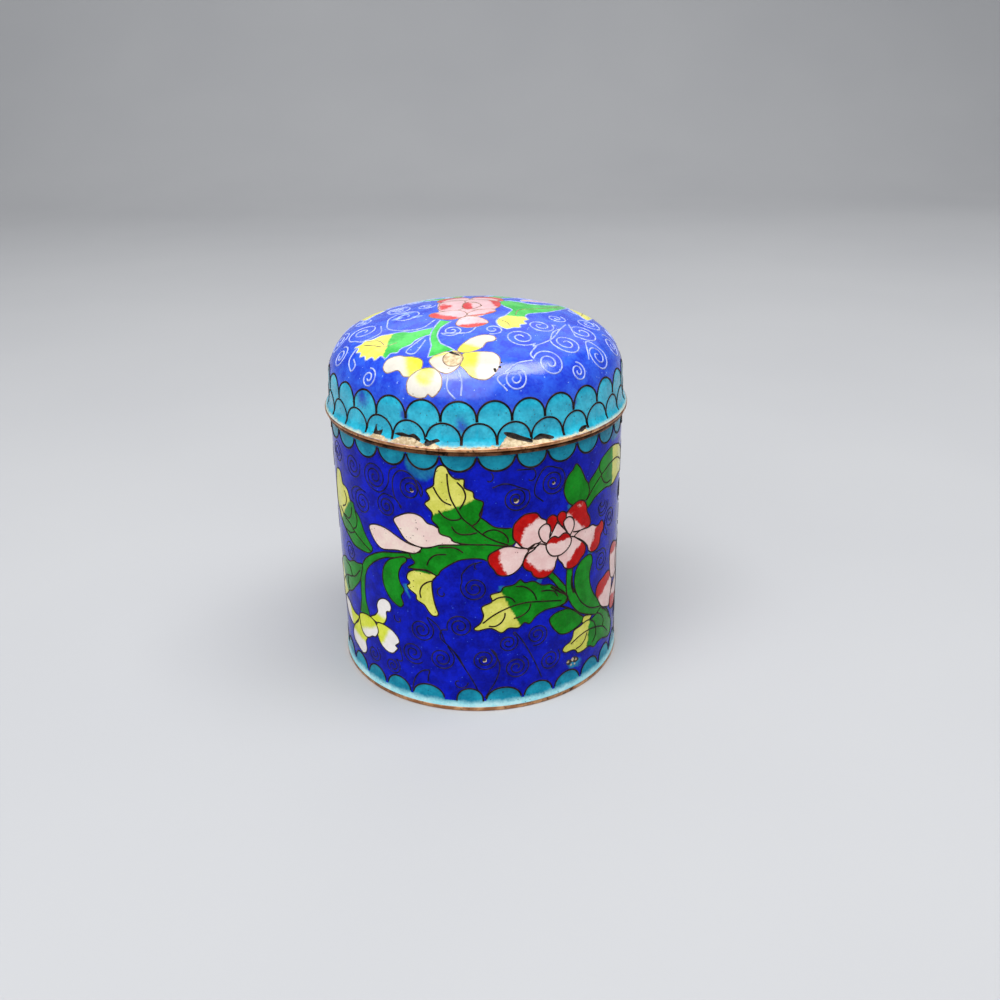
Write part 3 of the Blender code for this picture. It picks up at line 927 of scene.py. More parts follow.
LID_PEONY = (
    (((-9.0, 5.0), (-10.0, 8.5), (-7.6, 12.0), (-3.8, 12.6), (-1.5, 9.5), (-2.0, 5.5)),
     beyond((-3.6, 5.6), 4.9)),
    (((6.6, 4.6), (8.0, 8.0), (6.0, 12.0), (2.0, 12.8), (-0.6, 10.0), (0.5, 5.6)), beyond((1.4, 5.6), 4.9)),
    (((-9.0, 4.6), (-6.0, 6.2), (-3.0, 5.6), (-2.4, 2.0), (-2.8, -3.0), (-4.6, -5.2), (-8.2, -5.0),
      (-9.6, -2.4), (-9.4, 1.4)), lambda x, y: (1.0 - np.hypot((x + 7.9) / 1.7, (y + 0.6) / 3.0)) * 1.6),
    (((-2.4, 5.0), (0.6, 6.6), (4.4, 6.0), (6.6, 4.4), (7.0, 1.0), (6.4, -2.4), (4.6, -4.4), (0.6, -4.8),
      (-1.6, -3.6)), past((4.7, 2.0), (1.0, 0.25))),
    (((-5.0, -5.0), (-8.6, -5.4), (-11.0, -5.8), (-11.9, -7.2), (-11.2, -9.0), (-9.2, -10.6), (-6.8, -12.1),
      (-4.4, -11.8), (-2.6, -10.4), (-2.0, -8.8), (-2.7, -6.6)), past((-7.0, -8.9), (-0.62, -0.78))),
    (((-2.0, -9.2), (-1.3, -7.4), (0.6, -5.5), (2.6, -4.8), (4.6, -4.7), (5.6, -6.0), (4.7, -7.7),
      (2.8, -9.2), (0.8, -10.1), (-0.9, -10.2)), past((2.6, -7.9), (0.5, -0.86))),
    (((-4.6, -14.0), (-3.8, -11.8), (-2.2, -10.5), (-0.6, -10.5), (1.5, -11.5), (3.0, -13.3), (3.4, -14.9),
      (1.6, -16.8), (-1.4, -17.8), (-4.0, -16.8), (-4.8, -15.4)), past((-0.4, -15.6), (0.16, -1.0))),
    (((-2.8, 1.6), (-1.4, 3.2), (0.4, 2.6), (1.4, 0.6), (1.7, -1.6), (0.6, -3.2), (-1.0, -4.6),
      (-2.4, -4.4), (-3.2, -2.0)), past((-0.9, -1.6), (-1.0, -0.1))),
)
LID_PEONY_GROUND = ((-9.4, 5.0), (-9.4, -4.0), (-8.6, -6.4), (-6.0, -8.6), (-4.0, -11.6), (-1.4, -11.0),
                    (1.4, -10.6), (3.4, -8.4), (5.2, -5.2), (6.4, 0.0), (6.4, 4.6), (2.0, 8.4), (-4.0, 8.4))
LID_BLOSSOM = (
    (((-13.2, -31.0), (-15.5, -29.2), (-17.4, -28.4), (-19.2, -27.4), (-22.0, -27.4), (-23.5, -29.4),
      (-22.6, -31.5), (-19.6, -32.1), (-18.2, -34.4), (-15.4, -35.0), (-13.4, -33.6)),
     past((-17.4, -31.2), (1.0, 0.0))),
    (((-4.4, -28.8), (-3.2, -26.2), (-0.9, -23.4), (2.0, -21.8), (4.4, -22.2), (5.2, -23.6), (4.6, -24.8),
      (2.8, -25.6), (1.6, -28.0), (-0.8, -29.6), (-3.0, -30.0)), past((-0.8, -26.8), (-0.5, -0.86))),
    (((-3.0, -30.4), (-0.8, -29.9), (1.5, -29.7), (4.6, -30.2), (6.0, -32.6), (5.2, -36.2), (2.7, -38.6),
      (-0.8, -38.1), (-2.8, -35.8), (-4.2, -33.6)), past((0.6, -32.8), (-1.0, 0.1))),
    (((-11.4, -32.1), (-10.6, -30.6), (-9.0, -29.6), (-6.6, -28.8), (-4.4, -29.2), (-3.4, -31.2),
      (-3.6, -34.0), (-5.4, -36.0), (-7.6, -36.4), (-9.8, -34.8)), past((-8.6, -30.6), (-0.3, 1.0))),
    (((-17.6, -36.0), (-18.0, -38.6), (-16.2, -40.4), (-13.6, -41.2), (-12.6, -40.6), (-11.4, -41.6),
      (-9.0, -39.9), (-8.6, -37.0), (-10.2, -34.5), (-13.2, -33.8), (-16.0, -34.6)),
     near((-12.6, -35.8), 2.5)),
)
LID_SCROLLS = (
    ((11.5, -22.1), 4.1, 1.9, 330, 1, ((14.6, -25.8), (19.2, -21.0), (21.8, -14.4), (23.8, -9.6))),
    ((23.1, -21.4), 4.2, 2.0, 180, -1, ((20.0, -16.6), (22.4, -13.2))),
    ((32.4, -20.6), 3.9, 1.9, 60, 1, ((28.8, -17.2), (29.6, -24.2))),
    ((18.6, -31.0), 4.2, 1.9, 180, 1, ((13.6, -29.4), (15.2, -25.6))),
    ((9.8, -37.7), 3.1, 1.8, 60, 1, ((5.4, -38.0), (8.0, -41.0))),
    ((26.8, -29.8), 2.6, 1.8, 120, 1, ()),
    ((-5.8, -19.0), 2.8, 1.8, 200, -1, ((-2.0, -20.6), (0.4, -17.6))),
    ((4.5, -18.8), 2.6, 1.5, 250, -1, ()),
    ((28.0, -12.2), 4.4, 1.9, 240, -1, ((24.6, -9.0),)),
    ((16.8, -14.0), 3.6, 1.9, 30, 1, ((21.0, -12.0),)),
    ((-29.4, -8.2), 4.6, 1.8, 240, 1, ((-29.0, -14.8), (-24.6, -13.0), (-24.6, -7.8))),
    ((-18.2, -4.6), 4.8, 1.6, 180, 1, ((-22.4, -11.4), (-18.0, -15.0), (-13.4, -15.4), (-10.2, -11.2))),
    ((-20.0, 4.0), 4.0, 1.9, 60, -1, ()),
    ((-13.0, 2.6), 2.6, 1.6, 0, 1, ()),
    ((30.4, -3.6), 3.8, 1.9, 60, 1, ()),
    ((21.4, -6.2), 2.8, 1.6, 60, 1, ()),
    ((-36.8, -14.0), 3.2, 1.9, 60, 1, ()),
    ((-37.6, -4.4), 3.8, 1.9, 60, 1, ()),
    ((37.6, -9.4), 3.8, 1.9, 160, 1, ()),
    ((38.4, 0.4), 3.4, 1.9, 160, 1, ()),
    ((-28.4, -29.6), 2.6, 1.7, 60, 1, ()),
    ((-30.0, 1.4), 3.0, 1.8, 60, -1, ()),
)
# Long loops of wire between the lid's motifs.
LID_LOOPS = (
    ((-30.4, -16.6), (-33.6, -19.6), (-33.6, -23.4), (-31.8, -23.0), (-32.0, -20.4)),
    ((-12.6, -20.6), (-15.0, -23.4), (-17.2, -26.6), (-15.2, -28.0), (-13.6, -25.4), (-12.4, -22.4)),
    ((-4.4, -35.8), (-3.6, -39.0), (-4.0, -42.4)),
    ((-6.9, -37.0), (-7.4, -40.4), (-5.6, -43.0)),
    ((14.0, -31.6), (10.2, -33.4), (7.2, -36.6)),
)
LEFT_PLAN_LEAF = (
    ((-9.8, -16.4), (-13.2, -16.5), (-16.1, -16.8), (-18.5, -15.5), (-21.4, -15.2), (-24.4, -14.7),
     (-26.2, -15.6),
     (-28.4, -15.0), (-29.6, -16.0), (-31.6, -15.9), (-30.3, -17.4), (-31.0, -18.8), (-29.7, -19.8),
     (-30.0, -21.5),
     (-28.5, -22.2), (-28.3, -24.0), (-26.4, -24.1), (-25.6, -25.8), (-23.9, -25.2), (-22.6, -26.8),
     (-21.2, -25.6),
     (-19.4, -26.0), (-18.5, -24.6), (-16.1, -23.5), (-14.9, -21.8), (-12.6, -20.4), (-10.6, -19.6))
)
RIGHT_PLAN_LEAF = ((8.0, -9.2), (9.2, -6.2), (9.8, -3.9), (8.0, -1.5), (6.8, 2.0), (7.2, 5.0), (9.2, 6.8),
                   (12.1, 6.6), (15.0, 5.4), (18.4, 7.0), (21.6, 11.0), (24.4, 17.0), (26.2, 21.0),
                   (26.4, 15.0), (25.2, 9.0), (22.8, 3.4), (19.6, -1.6), (16.4, -4.4), (13.9, -6.6),
                   (13.2, -9.0), (13.9, -10.9), (12.7, -12.4), (13.2, -14.0), (11.6, -15.0), (11.5, -16.8),
                   (9.8, -17.2), (8.0, -18.2), (6.2, -16.8), (5.5, -14.5), (5.9, -12.0))


# Where cobalt ran over the lid's upper scales: arc length and height above the rim's foot,
# half width, half height.
SCALE_STAINS = (
    ((-3.6, 6.4), 1.5, 1.9),
    ((-5.4, 5.0), 0.9, 0.8),
    ((-31.6, 10.4), 2.4, 2.2),
    ((-18.2, 8.2), 1.1, 1.6),
    ((25.8, 9.0), 0.8, 1.3),
)


def lid_drawing():
    """The whole lid: scrolls, peony, blossom, leaves, the scales of its border, and its damage."""
    sheet = Sheet(LID_SCROLL_RADIUS)
    for centre, radius, turns, start, hand, tail in LID_SCROLLS:
        scroll(sheet, centre, radius, turns, start, hand, tail)
    for marks in LID_LOOPS:
        sheet.wire(bend(marks), sheet.fine, "scroll")
    # The back has the same scrolls, turned half round.
    sheet.spot = Spot(turn=180.0)
    for centre, radius, turns, start, hand, tail in LID_SCROLLS:
        if centre[1] < -5.0:
            scroll(sheet, centre, radius, turns, start, hand)
    sheet.spot = Spot()
    # Leaves and stems, in pale wire.
    sheet.kind = "scroll"
    sheet.field(LEFT_PLAN_LEAF, "leaf", past((-22.0, -20.0), (-1.0, 0.2)))
    stem(sheet, ((-7.4, -12.6), (-9.4, -16.4), (-10.3, -20.4), (-9.9, -24.4), (-8.4, -29.6)),
         (3.2, 1.8, 1.8, 2.4, 7.0))
    sheet.field(RIGHT_PLAN_LEAF, "leaf", past((9.5, -9.4), (0.0, -1.0)))
    veined(sheet, ((24.6, 21.6), (27.0, 23.0), (30.6, 20.6), (33.6, 16.0), (34.4, 11.0), (32.6, 5.0),
                   (30.6, 0.4), (28.4, 5.0), (27.0, 9.6), (26.6, 14.0)), all_second, ())
    veined(sheet, ((-20.0, 24.6), (-26.6, 23.0), (-31.6, 18.6), (-32.6, 13.0), (-31.6, 7.6), (-30.0, 4.2),
                   (-28.0, 7.0), (-25.6, 10.6), (-24.0, 16.0), (-20.0, 20.6)),
           past((-26.0, 16.0), (-0.9, -0.4)), ())
    stem(sheet, ((-5.0, 9.0), (-12.0, 14.6), (-19.0, 19.4), (-25.0, 20.6)), (4.6, 5.4, 4.4, 2.4))
    sheet.field(((13.0, 8.0), (17.0, 10.4), (21.0, 14.4), (24.0, 19.4), (24.6, 24.0), (20.6, 21.6),
                 (16.4, 17.0), (13.4, 12.4)), "petal", past((19.0, 13.6), (0.8, -0.6)))
    veined(sheet, ((2.0, 11.0), (5.0, 17.0), (7.0, 23.0), (12.0, 25.6), (15.0, 29.6), (20.0, 30.6),
                   (24.6, 33.6), (22.6, 27.6), (20.0, 24.6), (17.0, 19.0), (12.0, 16.0), (8.0, 11.0)),
           past((16.0, 26.0), (0.5, 0.8)), ())
    veined(sheet, ((-4.0, 12.0), (-8.0, 17.0), (-9.0, 23.0), (-13.0, 26.6), (-14.0, 31.6), (-19.0, 34.0),
                   (-23.6, 38.0), (-15.0, 37.0), (-9.0, 33.0), (-5.0, 27.0), (-2.6, 20.0)),
           past((-13.0, 31.0), (-0.5, 0.8)), ())
    sheet.kind = "faint"
    sheet.width = FAINT_RADIUS
    for marks in (
        ((-28.6, -17.2), (-25.6, -19.6), (-23.0, -21.6), (-19.6, -21.0)),
        ((-27.8, -15.8), (-24.6, -17.6), (-23.0, -20.8)),
        ((6.2, -12.6), (8.0, -13.9), (8.9, -16.2)),
        ((10.6, -8.2), (11.8, -3.6), (16.0, -0.4), (20.6, 4.6), (24.0, 11.6)),
        ((31.8, 19.4), (30.8, 12.0), (29.6, 5.0)),
    ):
        sheet.wire(bend(marks))
    sheet.cell(bend(LID_PEONY_GROUND, closed=True), "petal")
    petals(sheet, LID_PEONY, "petal")
    sheet.wire(bend(((-0.6, 2.4), (1.0, 1.4), (1.9, -1.4), (0.6, -3.2))))
    petals(sheet, LID_BLOSSOM, "blossom")
    sheet.spot = Spot(move=(10.0, 66.0))
    petals(sheet, LID_BLOSSOM, "blossom")
    sheet.spot = Spot()
    # An old repair in the blossom, with a crack round its upper side.
    turn = np.linspace(0.0, math.tau, 22)[:-1]
    patch = [Vector((-5.5 + 2.5 * math.cos(a), -32.0 + 2.6 * math.sin(a))) for a in turn]
    sheet.cell(patch, "filler", depth=0.12)
    sheet.wire(patch + patch[:1])
    sheet.kind = "cell"
    crack = ((-7.0, -29.0), (-6.4, -28.6), (-5.2, -29.5), (-4.0, -30.4), (-3.9, -31.0), (-4.7, -30.6),
             (-5.8, -30.0))
    sheet.cell(bend(crack, closed=True, step=FINE_STEP), "dark_break_and_shadow", depth=0.35)
    for centre, size in (((4.7, -36.0), 0.42), ((5.9, -35.0), 0.36), ((6.3, -33.6), 0.2)):
        pit(sheet, centre, size)
    lid_border(sheet)
    lid_losses(sheet)
    return sheet


def lid_border(sheet):
    """Two rows of scales, with cobalt stains in the upper one and a pale lower edge."""
    stains = blurred_ovals([(on_band(*centre), across, along) for centre, across, along in SCALE_STAINS], 1.0)
    marks = round_junctions(HIGH_JUNCTIONS, SCALE_COUNT)
    for left, right in zip(marks, marks[1:]):
        left, right = left + SCALE_GAP, right - SCALE_GAP
        arch(sheet, left, right, HIGH_SCALE_FOOT, HIGH_SCALE_TOP, stains, on_band, enamel="stained")
    fade = lambda x, y: np.hypot(x, y) - (LID_REACH - LOW_FADE)
    foot = LID_EDGE + LOSS_LIFT
    marks = round_junctions(LOW_JUNCTIONS, SCALE_COUNT)
    for left, right in zip(marks, marks[1:]):
        arch(sheet, left + SCALE_GAP, right - SCALE_GAP, foot, LOW_SCALE_TOP, fade, on_band, LOW_WIRE_END)


# Lost enamel along the lid's lower front edge: left, right, and its height at even shares of the way.
LOSSES = (
    (-28.6, -22.4, (0.2, 0.8, 2.0, 2.3, 1.2, 1.4, 0.8, 0.2)),
    (-21.8, -8.4, (0.2, 1.2, 1.9, 2.3, 2.0, 2.2, 1.5, 0.8, 1.6, 1.8, 0.9, 0.2)),
    (-8.6, 5.4, (0.15, 0.5, 0.3, 0.7, 0.3, 0.4, 0.6, 0.3, 0.8, 0.3)),
    (5.0, 19.2, (0.3, 1.6, 3.2, 2.8, 2.3, 1.9, 1.5, 1.2, 2.0, 2.1, 1.6, 0.7, 0.2)),
    (19.0, 26.0, (0.2, 0.6, 0.3, 0.5, 0.2)),
    (26.0, 29.8, (0.2, 1.0, 1.3, 1.1, 0.2)),
)
# Black cells above the losses: the enamel's broken upper edge, sunk, with painted shadow under it in their
# colour: marks as (arc length, height above the rim's foot).
EDGE_SHADOWS = (
    ((-27.4, 2.2), (-27.0, 3.9), (-26.6, 4.6), (-26.2, 3.0), (-25.4, 3.3), (-24.6, 3.6), (-24.9, 2.3),
     (-26.2, 2.1)),
    ((-21.0, 3.2), (-19.0, 3.8), (-17.0, 3.5), (-15.6, 3.9), (-14.0, 2.8), (-14.2, 2.2), (-16.4, 2.9),
     (-18.6, 2.8)),
    ((-12.8, 1.6), (-12.4, 3.0), (-11.4, 2.6), (-9.8, 3.2), (-9.0, 2.6), (-10.8, 1.9), (-11.9, 1.3)),
    ((6.4, 4.7), (8.6, 4.4), (10.8, 3.4), (13.2, 2.3), (13.3, 1.5), (11.2, 2.1), (9.0, 2.8), (7.2, 3.6)),
    ((13.6, 2.3), (15.4, 3.3), (17.0, 3.0), (19.1, 2.0), (18.4, 1.5), (16.4, 2.0), (15.0, 1.9)),
    ((26.6, 1.9), (28.2, 2.7), (29.8, 2.5), (29.0, 1.7), (27.6, 1.4)),
)


def lid_losses(sheet):
    """Lost enamel along the lid's lower front edge: a pale ground, with black painted shadow under the
    broken enamel above it.
    """
    for left, right, heights in LOSSES:
        edge = []
        steps = round((right - left) / FINE_STEP)
        for step in range(steps + 1):
            share = step / steps
            s = left + (right - left) * share
            up = float(np.interp(share, np.linspace(0.0, 1.0, len(heights)), heights))
            up += 0.4 * noise.noise(Vector((s * 1.3, 3.0, 0.0))) + 0.3 * noise.noise(Vector((s * 4.1, 7.0,
                                                                                             0.0)))
            edge.append(on_band(s, max(up, 0.1) + LID_EDGE))
        foot = [on_band(s, LID_EDGE + LOSS_LIFT) for s in np.linspace(right, left, 8)]
        sheet.cell(edge + foot, "filler", depth=0.3)
    for marks in EDGE_SHADOWS:
        line = bend([on_band(*mark) for mark in marks], closed=True, step=FINE_STEP)
        sheet.cell(line, "dark_break_and_shadow", depth=0.5)


# Painted highlights: pale blue spots where the light glints on the lid's cobalt: centre, half width, half
# height.
LID_GLINTS = (
    ((-20.4, -4.6), 1.3, 1.0),
    ((-17.9, -1.8), 1.5, 0.8),
    ((-15.0, -6.4), 1.2, 0.9),
)
lid_glints = blurred_ovals(LID_GLINTS, 1.2)


# Wrapping the drawing on the copper


def wall_radius(height):
    """The wall's outer radius, with its flared foot."""
    share = max(0.0, (FLARE_TOP - height) / (FLARE_TOP - WALL_FOOT))
    return WALL_RADIUS + FOOT_FLARE * share**2


def wall_slope(height):
    """How much the wall's radius shrinks per mm of height."""
    return (wall_radius(height - 0.1) - wall_radius(height + 0.1)) / 0.2


def on_wall(x, y, out=0.0):
    """A mark of the wall's drawing in space, and the surface's normal there."""
    angle = x / WALL_RADIUS
    heading = Vector((math.sin(angle), -math.cos(angle), 0.0))
    normal = (heading + Vector((0.0, 0.0, wall_slope(y)))).normalized()
    place = heading * wall_radius(y) + Vector((0.0, 0.0, y))
    return (place + normal * out) * MM, normal


# The lid's slope is read over this much arc to each side, and this close to the apex it is level.
SLOPE_REACH = 0.3
LEVEL_REACH = 0.02


def on_lid(x, y, out=0.0):
    """A mark of the lid's drawing in space, and the surface's normal there."""
    reach = min(math.hypot(x, y), LID_REACH)
    index = int(np.clip(np.searchsorted(LID_ARCS, reach) - 1, 0, len(LID_ARCS) - 2))
    share = (reach - LID_ARCS[index]) / (LID_ARCS[index + 1] - LID_ARCS[index])
    radius = LID_RADII[index] + (LID_RADII[index + 1] - LID_RADII[index]) * share
    height = LID_HEIGHTS[index] + (LID_HEIGHTS[index + 1] - LID_HEIGHTS[index]) * share
    heading = Vector((x, y, 0.0)).normalized() if reach > 1e-6 else Vector((1.0, 0.0, 0.0))
    low, high = max(reach - SLOPE_REACH, 0.0), min(reach + SLOPE_REACH, LID_REACH)
    along = np.interp(high, LID_ARCS, LID_RADII) - np.interp(low, LID_ARCS, LID_RADII)
    drop = np.interp(high, LID_ARCS, LID_HEIGHTS) - np.interp(low, LID_ARCS, LID_HEIGHTS)
    normal = (heading * -drop + Vector((0.0, 0.0, along))).normalized()
    if reach < LEVEL_REACH:
        normal = Vector((0.0, 0.0, 1.0))
    place = heading * radius + Vector((0.0, 0.0, height))
    return (place + normal * out) * MM, normal


# Points of the flat drawing that lie closer than this are one, and so are points of the wrapped skin.
WELD = 0.012
SKIN_WELD = 0.004

# Edges of the skins that turn by more than this many degrees are sharp.
SKIN_SHARP = 32.0


def tile(sheet, boundary, fill, ground_marks):
    """Cuts the flat sheet into triangles along every cell, and says which cell each belongs to."""
    points = [Vector(point) for point in boundary]
    edges = [(i, (i + 1) % len(boundary)) for i in range(len(boundary))]
    for cell in sheet.cells:
        start, count = len(points), len(cell["outline"])
        points += [Vector(point) for point in cell["outline"]]
        edges += [(start + i, start + (i + 1) % count) for i in range(count)]
    points += [Vector(point) for point in fill]
    marks, _, faces, *_ = delaunay_2d_cdt(points, edges, [], 0, WELD, False)
    marks = np.array(marks)
    faces = np.array(faces)
    middles = marks[faces].mean(1)
    owner = np.full(len(faces), -1)
    for number, cell in enumerate(sheet.cells):
        outline = cell["outline"]
        low, high = outline.min(0), outline.max(0)
        near_by = np.nonzero(((middles >= low) & (middles <= high)).all(1))[0]
        hit = inside(outline, middles[near_by, 0], middles[near_by, 1])
        owner[near_by[hit]] = number
    blush = np.full(faces.shape, -FAR)
    for number in range(-1, len(sheet.cells)):
        mine = owner == number
        if not mine.any():
            continue
        # The cobalt ground takes the wall's turquoise bleeds, and on the lid its painted highlights.
        shade = ground_marks if number < 0 else sheet.cells[number]["blush"]
        if shade is None:
            continue
        corners = marks[faces[mine]]
        blush[mine] = shade(corners[..., 0], corners[..., 1])
    return marks, faces, owner, blush


# The order of the enamels' material slots. Those that begin with lid_ take the others' place on the lid.
ENAMELS = (
    *("cobalt", "turquoise", "leaf", "petal", "bud", "blossom", "filler", "dark_break_and_shadow", "counter"),
    *("lid_cobalt", "lid_turquoise", "lid_leaf", "lid_petal", "lid_blossom", "stained"),
)


def skin(name, sheet, boundary, fill, place, ground_marks, linings, family=""):
    """The enamelled piece: the drawn outside, closed with its lining."""
    marks, faces, owner, blush = tile(sheet, boundary, fill, ground_marks)
    # A corner is sunk as deep as the shallowest cell that it belongs to.
    face_depth = np.array([0.0] + [cell["depth"] for cell in sheet.cells])[owner + 1]
    shallowest = np.full(len(marks), FAR)
    for corner in range(3):
        np.minimum.at(shallowest, faces[:, corner], face_depth)
    depth = np.where(shallowest < FAR, shallowest, 0.0)
    shape = bmesh.new()
    blush_layer = shape.loops.layers.float.new("blush")
    outer = shape.faces.layers.int.new("outer")
    verts = [shape.verts.new(place(x, y, -sink)[0]) for (x, y), sink in zip(marks, depth)]
    for corners, number, shades in zip(faces, owner, blush):
        face = shape.faces.new([verts[i] for i in corners])
        enamel = "cobalt" if number < 0 else sheet.cells[number]["enamel"]
        if family + enamel in ENAMELS:
            enamel = family + enamel
        face.material_index = ENAMELS.index(enamel)
        face[outer] = 1
        face.smooth = True
        for loop, shade in zip(face.loops, shades):
            loop[blush_layer] = float(shade)
    bmesh.ops.remove_doubles(shape, verts=shape.verts, dist=SKIN_WELD * MM)
    for section, join_height in linings:
        add_lining(shape, section, join_height)
    bmesh.ops.recalc_face_normals(shape, faces=shape.faces)
    mesh = bpy.data.meshes.new(name)
    shape.to_mesh(mesh)
    shape.free()
    for enamel in ENAMELS:
        mesh.materials.append(MATERIALS[enamel])
    mesh.set_sharp_from_angle(angle=math.radians(SKIN_SHARP))
    give_true_normals(mesh, place)
    return publish(name, mesh)


# An open edge within this height of where a lining joins belongs to that join.
EDGE_SEARCH = 0.6


def add_lining(shape, section, join_height):
    """Draws the skin's edge at a height in along a section, ring by ring, until it closes on the axis."""
    drawn = set(shape.faces)
    ring = []
    for edge in shape.edges:
        if edge.is_boundary and all(abs(vert.co.z / MM - join_height) < EDGE_SEARCH for vert in edge.verts):
            ring.append(edge)
    for radius, height in section:
        moved = bmesh.ops.extrude_edge_only(shape, edges=ring)["geom"]
        ring = [item for item in moved if isinstance(item, bmesh.types.BMEdge) and item.is_boundary]
        for vert in {vert for edge in ring for vert in edge.verts}:
            heading = Vector((vert.co.x, vert.co.y, 0.0)).normalized()
            vert.co = (heading * radius + Vector((0.0, 0.0, height))) * MM
    pole = list({vert for edge in ring for vert in edge.verts})
    bmesh.ops.pointmerge(shape, verts=pole, merge_co=Vector((0.0, 0.0, section[-1][1] * MM)))
    for face in shape.faces:
        if face not in drawn:
            face.material_index = ENAMELS.index("counter")
            face.smooth = True


def give_true_normals(mesh, place):
    """Gives the drawn skin the turned shape's own normals, so that it reflects as one smooth surface."""
    normals = np.zeros((len(mesh.loops), 3))
    outer = np.zeros(len(mesh.polygons), dtype=np.int32)
    mesh.attributes["outer"].data.foreach_get("value", outer)
    loss = {ENAMELS.index("filler"), ENAMELS.index("dark_break_and_shadow")}
    worn = set()
    for polygon in mesh.polygons:
        if polygon.material_index in loss:
            worn.update(polygon.vertices)
    for polygon, drawn in zip(mesh.polygons, outer):
        if not drawn:
            continue
        for loop in polygon.loop_indices:
            vertex = mesh.loops[loop].vertex_index
            if vertex in worn:
                continue
            normals[loop] = NORMAL_OF[place](mesh.vertices[vertex].co)
    mesh.normals_split_custom_set([Vector(row) for row in normals])
    mesh.attributes.remove(mesh.attributes["outer"])


def wall_normal(point):
    """The wall's normal at a point of its surface."""
    flat = Vector((point.x, point.y, 0.0)).normalized()
    return (flat + Vector((0.0, 0.0, wall_slope(point.z / MM)))).normalized()


def lid_normal(point):
    """The lid's normal at a point of its surface."""
    radius, height = math.hypot(point.x, point.y) / MM, point.z / MM
    nearest = int(np.argmin((LID_RADII - radius) ** 2 + (LID_HEIGHTS - height) ** 2))
    reach = LID_ARCS[nearest]
    low, high = max(nearest - 1, 0), min(nearest + 1, len(LID_ARCS) - 1)
    if low < nearest < high:
        ahead = np.hypot(LID_RADII[high] - radius, LID_HEIGHTS[high] - height)
        behind = np.hypot(LID_RADII[low] - radius, LID_HEIGHTS[low] - height)
        reach += 0.25 * (LID_ARCS[high] - LID_ARCS[low]) * (behind - ahead) / (behind + ahead)
    angle = math.atan2(point.y, point.x)
    return on_lid(reach * math.cos(angle), reach * math.sin(angle))[1]


NORMAL_OF = {on_wall: wall_normal, on_lid: lid_normal}


def publish(name, mesh):
    """Puts a finished mesh in the scene, riding on the box."""
    piece = bpy.data.objects.new(name, mesh)
    bpy.context.scene.collection.objects.link(piece)
    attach(piece, "root")
    return piece


def lay_wires(name, sheet, kind, place, material):
    """The visible wires of a drawing, as thin rods sunk in the enamel."""
    curve = bpy.data.curves.new(name, "CURVE")
    curve.dimensions = "3D"
    curve.bevel_mode = "ROUND"
    curve.bevel_depth = 1.0 * MM
    curve.bevel_resolution = 1
    curve.use_fill_caps = True
    for run, radius in sheet.visible_runs(kind):
        spline = curve.splines.new("POLY")
        spline.points.add(len(run) - 1)
        for point, mark in zip(spline.points, run):
            spot = place(mark[0], mark[1], -WIRE_SINK)[0]
            point.co = (*spot, 1.0)
            point.radius = radius
    rods = bpy.data.objects.new(name + "_rods", curve)
    bpy.context.scene.collection.objects.link(rods)
    graph = bpy.context.evaluated_depsgraph_get()
    mesh = bpy.data.meshes.new_from_object(rods.evaluated_get(graph))
    mesh.name = name
    bpy.data.objects.remove(rods)
    mesh.materials.clear()
    mesh.materials.append(material)
    mesh.shade_smooth()
    return publish(name, mesh)


# Copper bands


BAND_STEPS = 180
BAND_WELD = 0.002
BAND_SHARP = 50.0


def band(name, section, uneven, seed, finish="copper"):
    """A turned copper band, very slightly out of true."""
    shape = bmesh.new()
    corners = [shape.verts.new((radius * MM, 0.0, height * MM)) for radius, height in section]
    edges = [shape.edges.new((a, b)) for a, b in zip(corners, corners[1:] + corners[:1])]
    bmesh.ops.spin(
        shape,
        geom=corners + edges,
        axis=Vector((0.0, 0.0, 1.0)),
        cent=Vector((0.0, 0.0, 0.0)),
        angle=math.tau,
        steps=BAND_STEPS,
        use_merge=True,
        use_duplicate=False,
    )
    bmesh.ops.remove_doubles(shape, verts=shape.verts, dist=BAND_WELD * MM)
    bmesh.ops.recalc_face_normals(shape, faces=shape.faces)
    for vert in shape.verts:
        flat = Vector((vert.co.x, vert.co.y, 0.0)).normalized()
        sway = noise.noise(flat * 3.0 + Vector((seed, 0.0, 0.0)))
        sway += 0.4 * noise.noise(flat * 11.0 + Vector((0.0, seed, 0.0)))
        vert.co -= flat * (0.5 + 0.5 * sway) * uneven * MM
    mesh = bpy.data.meshes.new(name)
    shape.to_mesh(mesh)
    shape.free()
    mesh.materials.append(MATERIALS[finish])
    mesh.shade_smooth()
    mesh.set_sharp_from_angle(angle=math.radians(BAND_SHARP))
    return publish(name, mesh)


def rounded_section(inner, outer, low, high, soft):
    """A band's section with soft outer corners."""
    points = [(inner, high)]
    for centre_z, first in ((high - soft, 90.0), (low + soft, 0.0)):
        for step in range(5):
            angle = math.radians(first - 90.0 * step / 4)
            points.append((outer - soft + soft * math.cos(angle), centre_z + soft * math.sin(angle)))
    points.append((inner, low))
    return points


# Materials


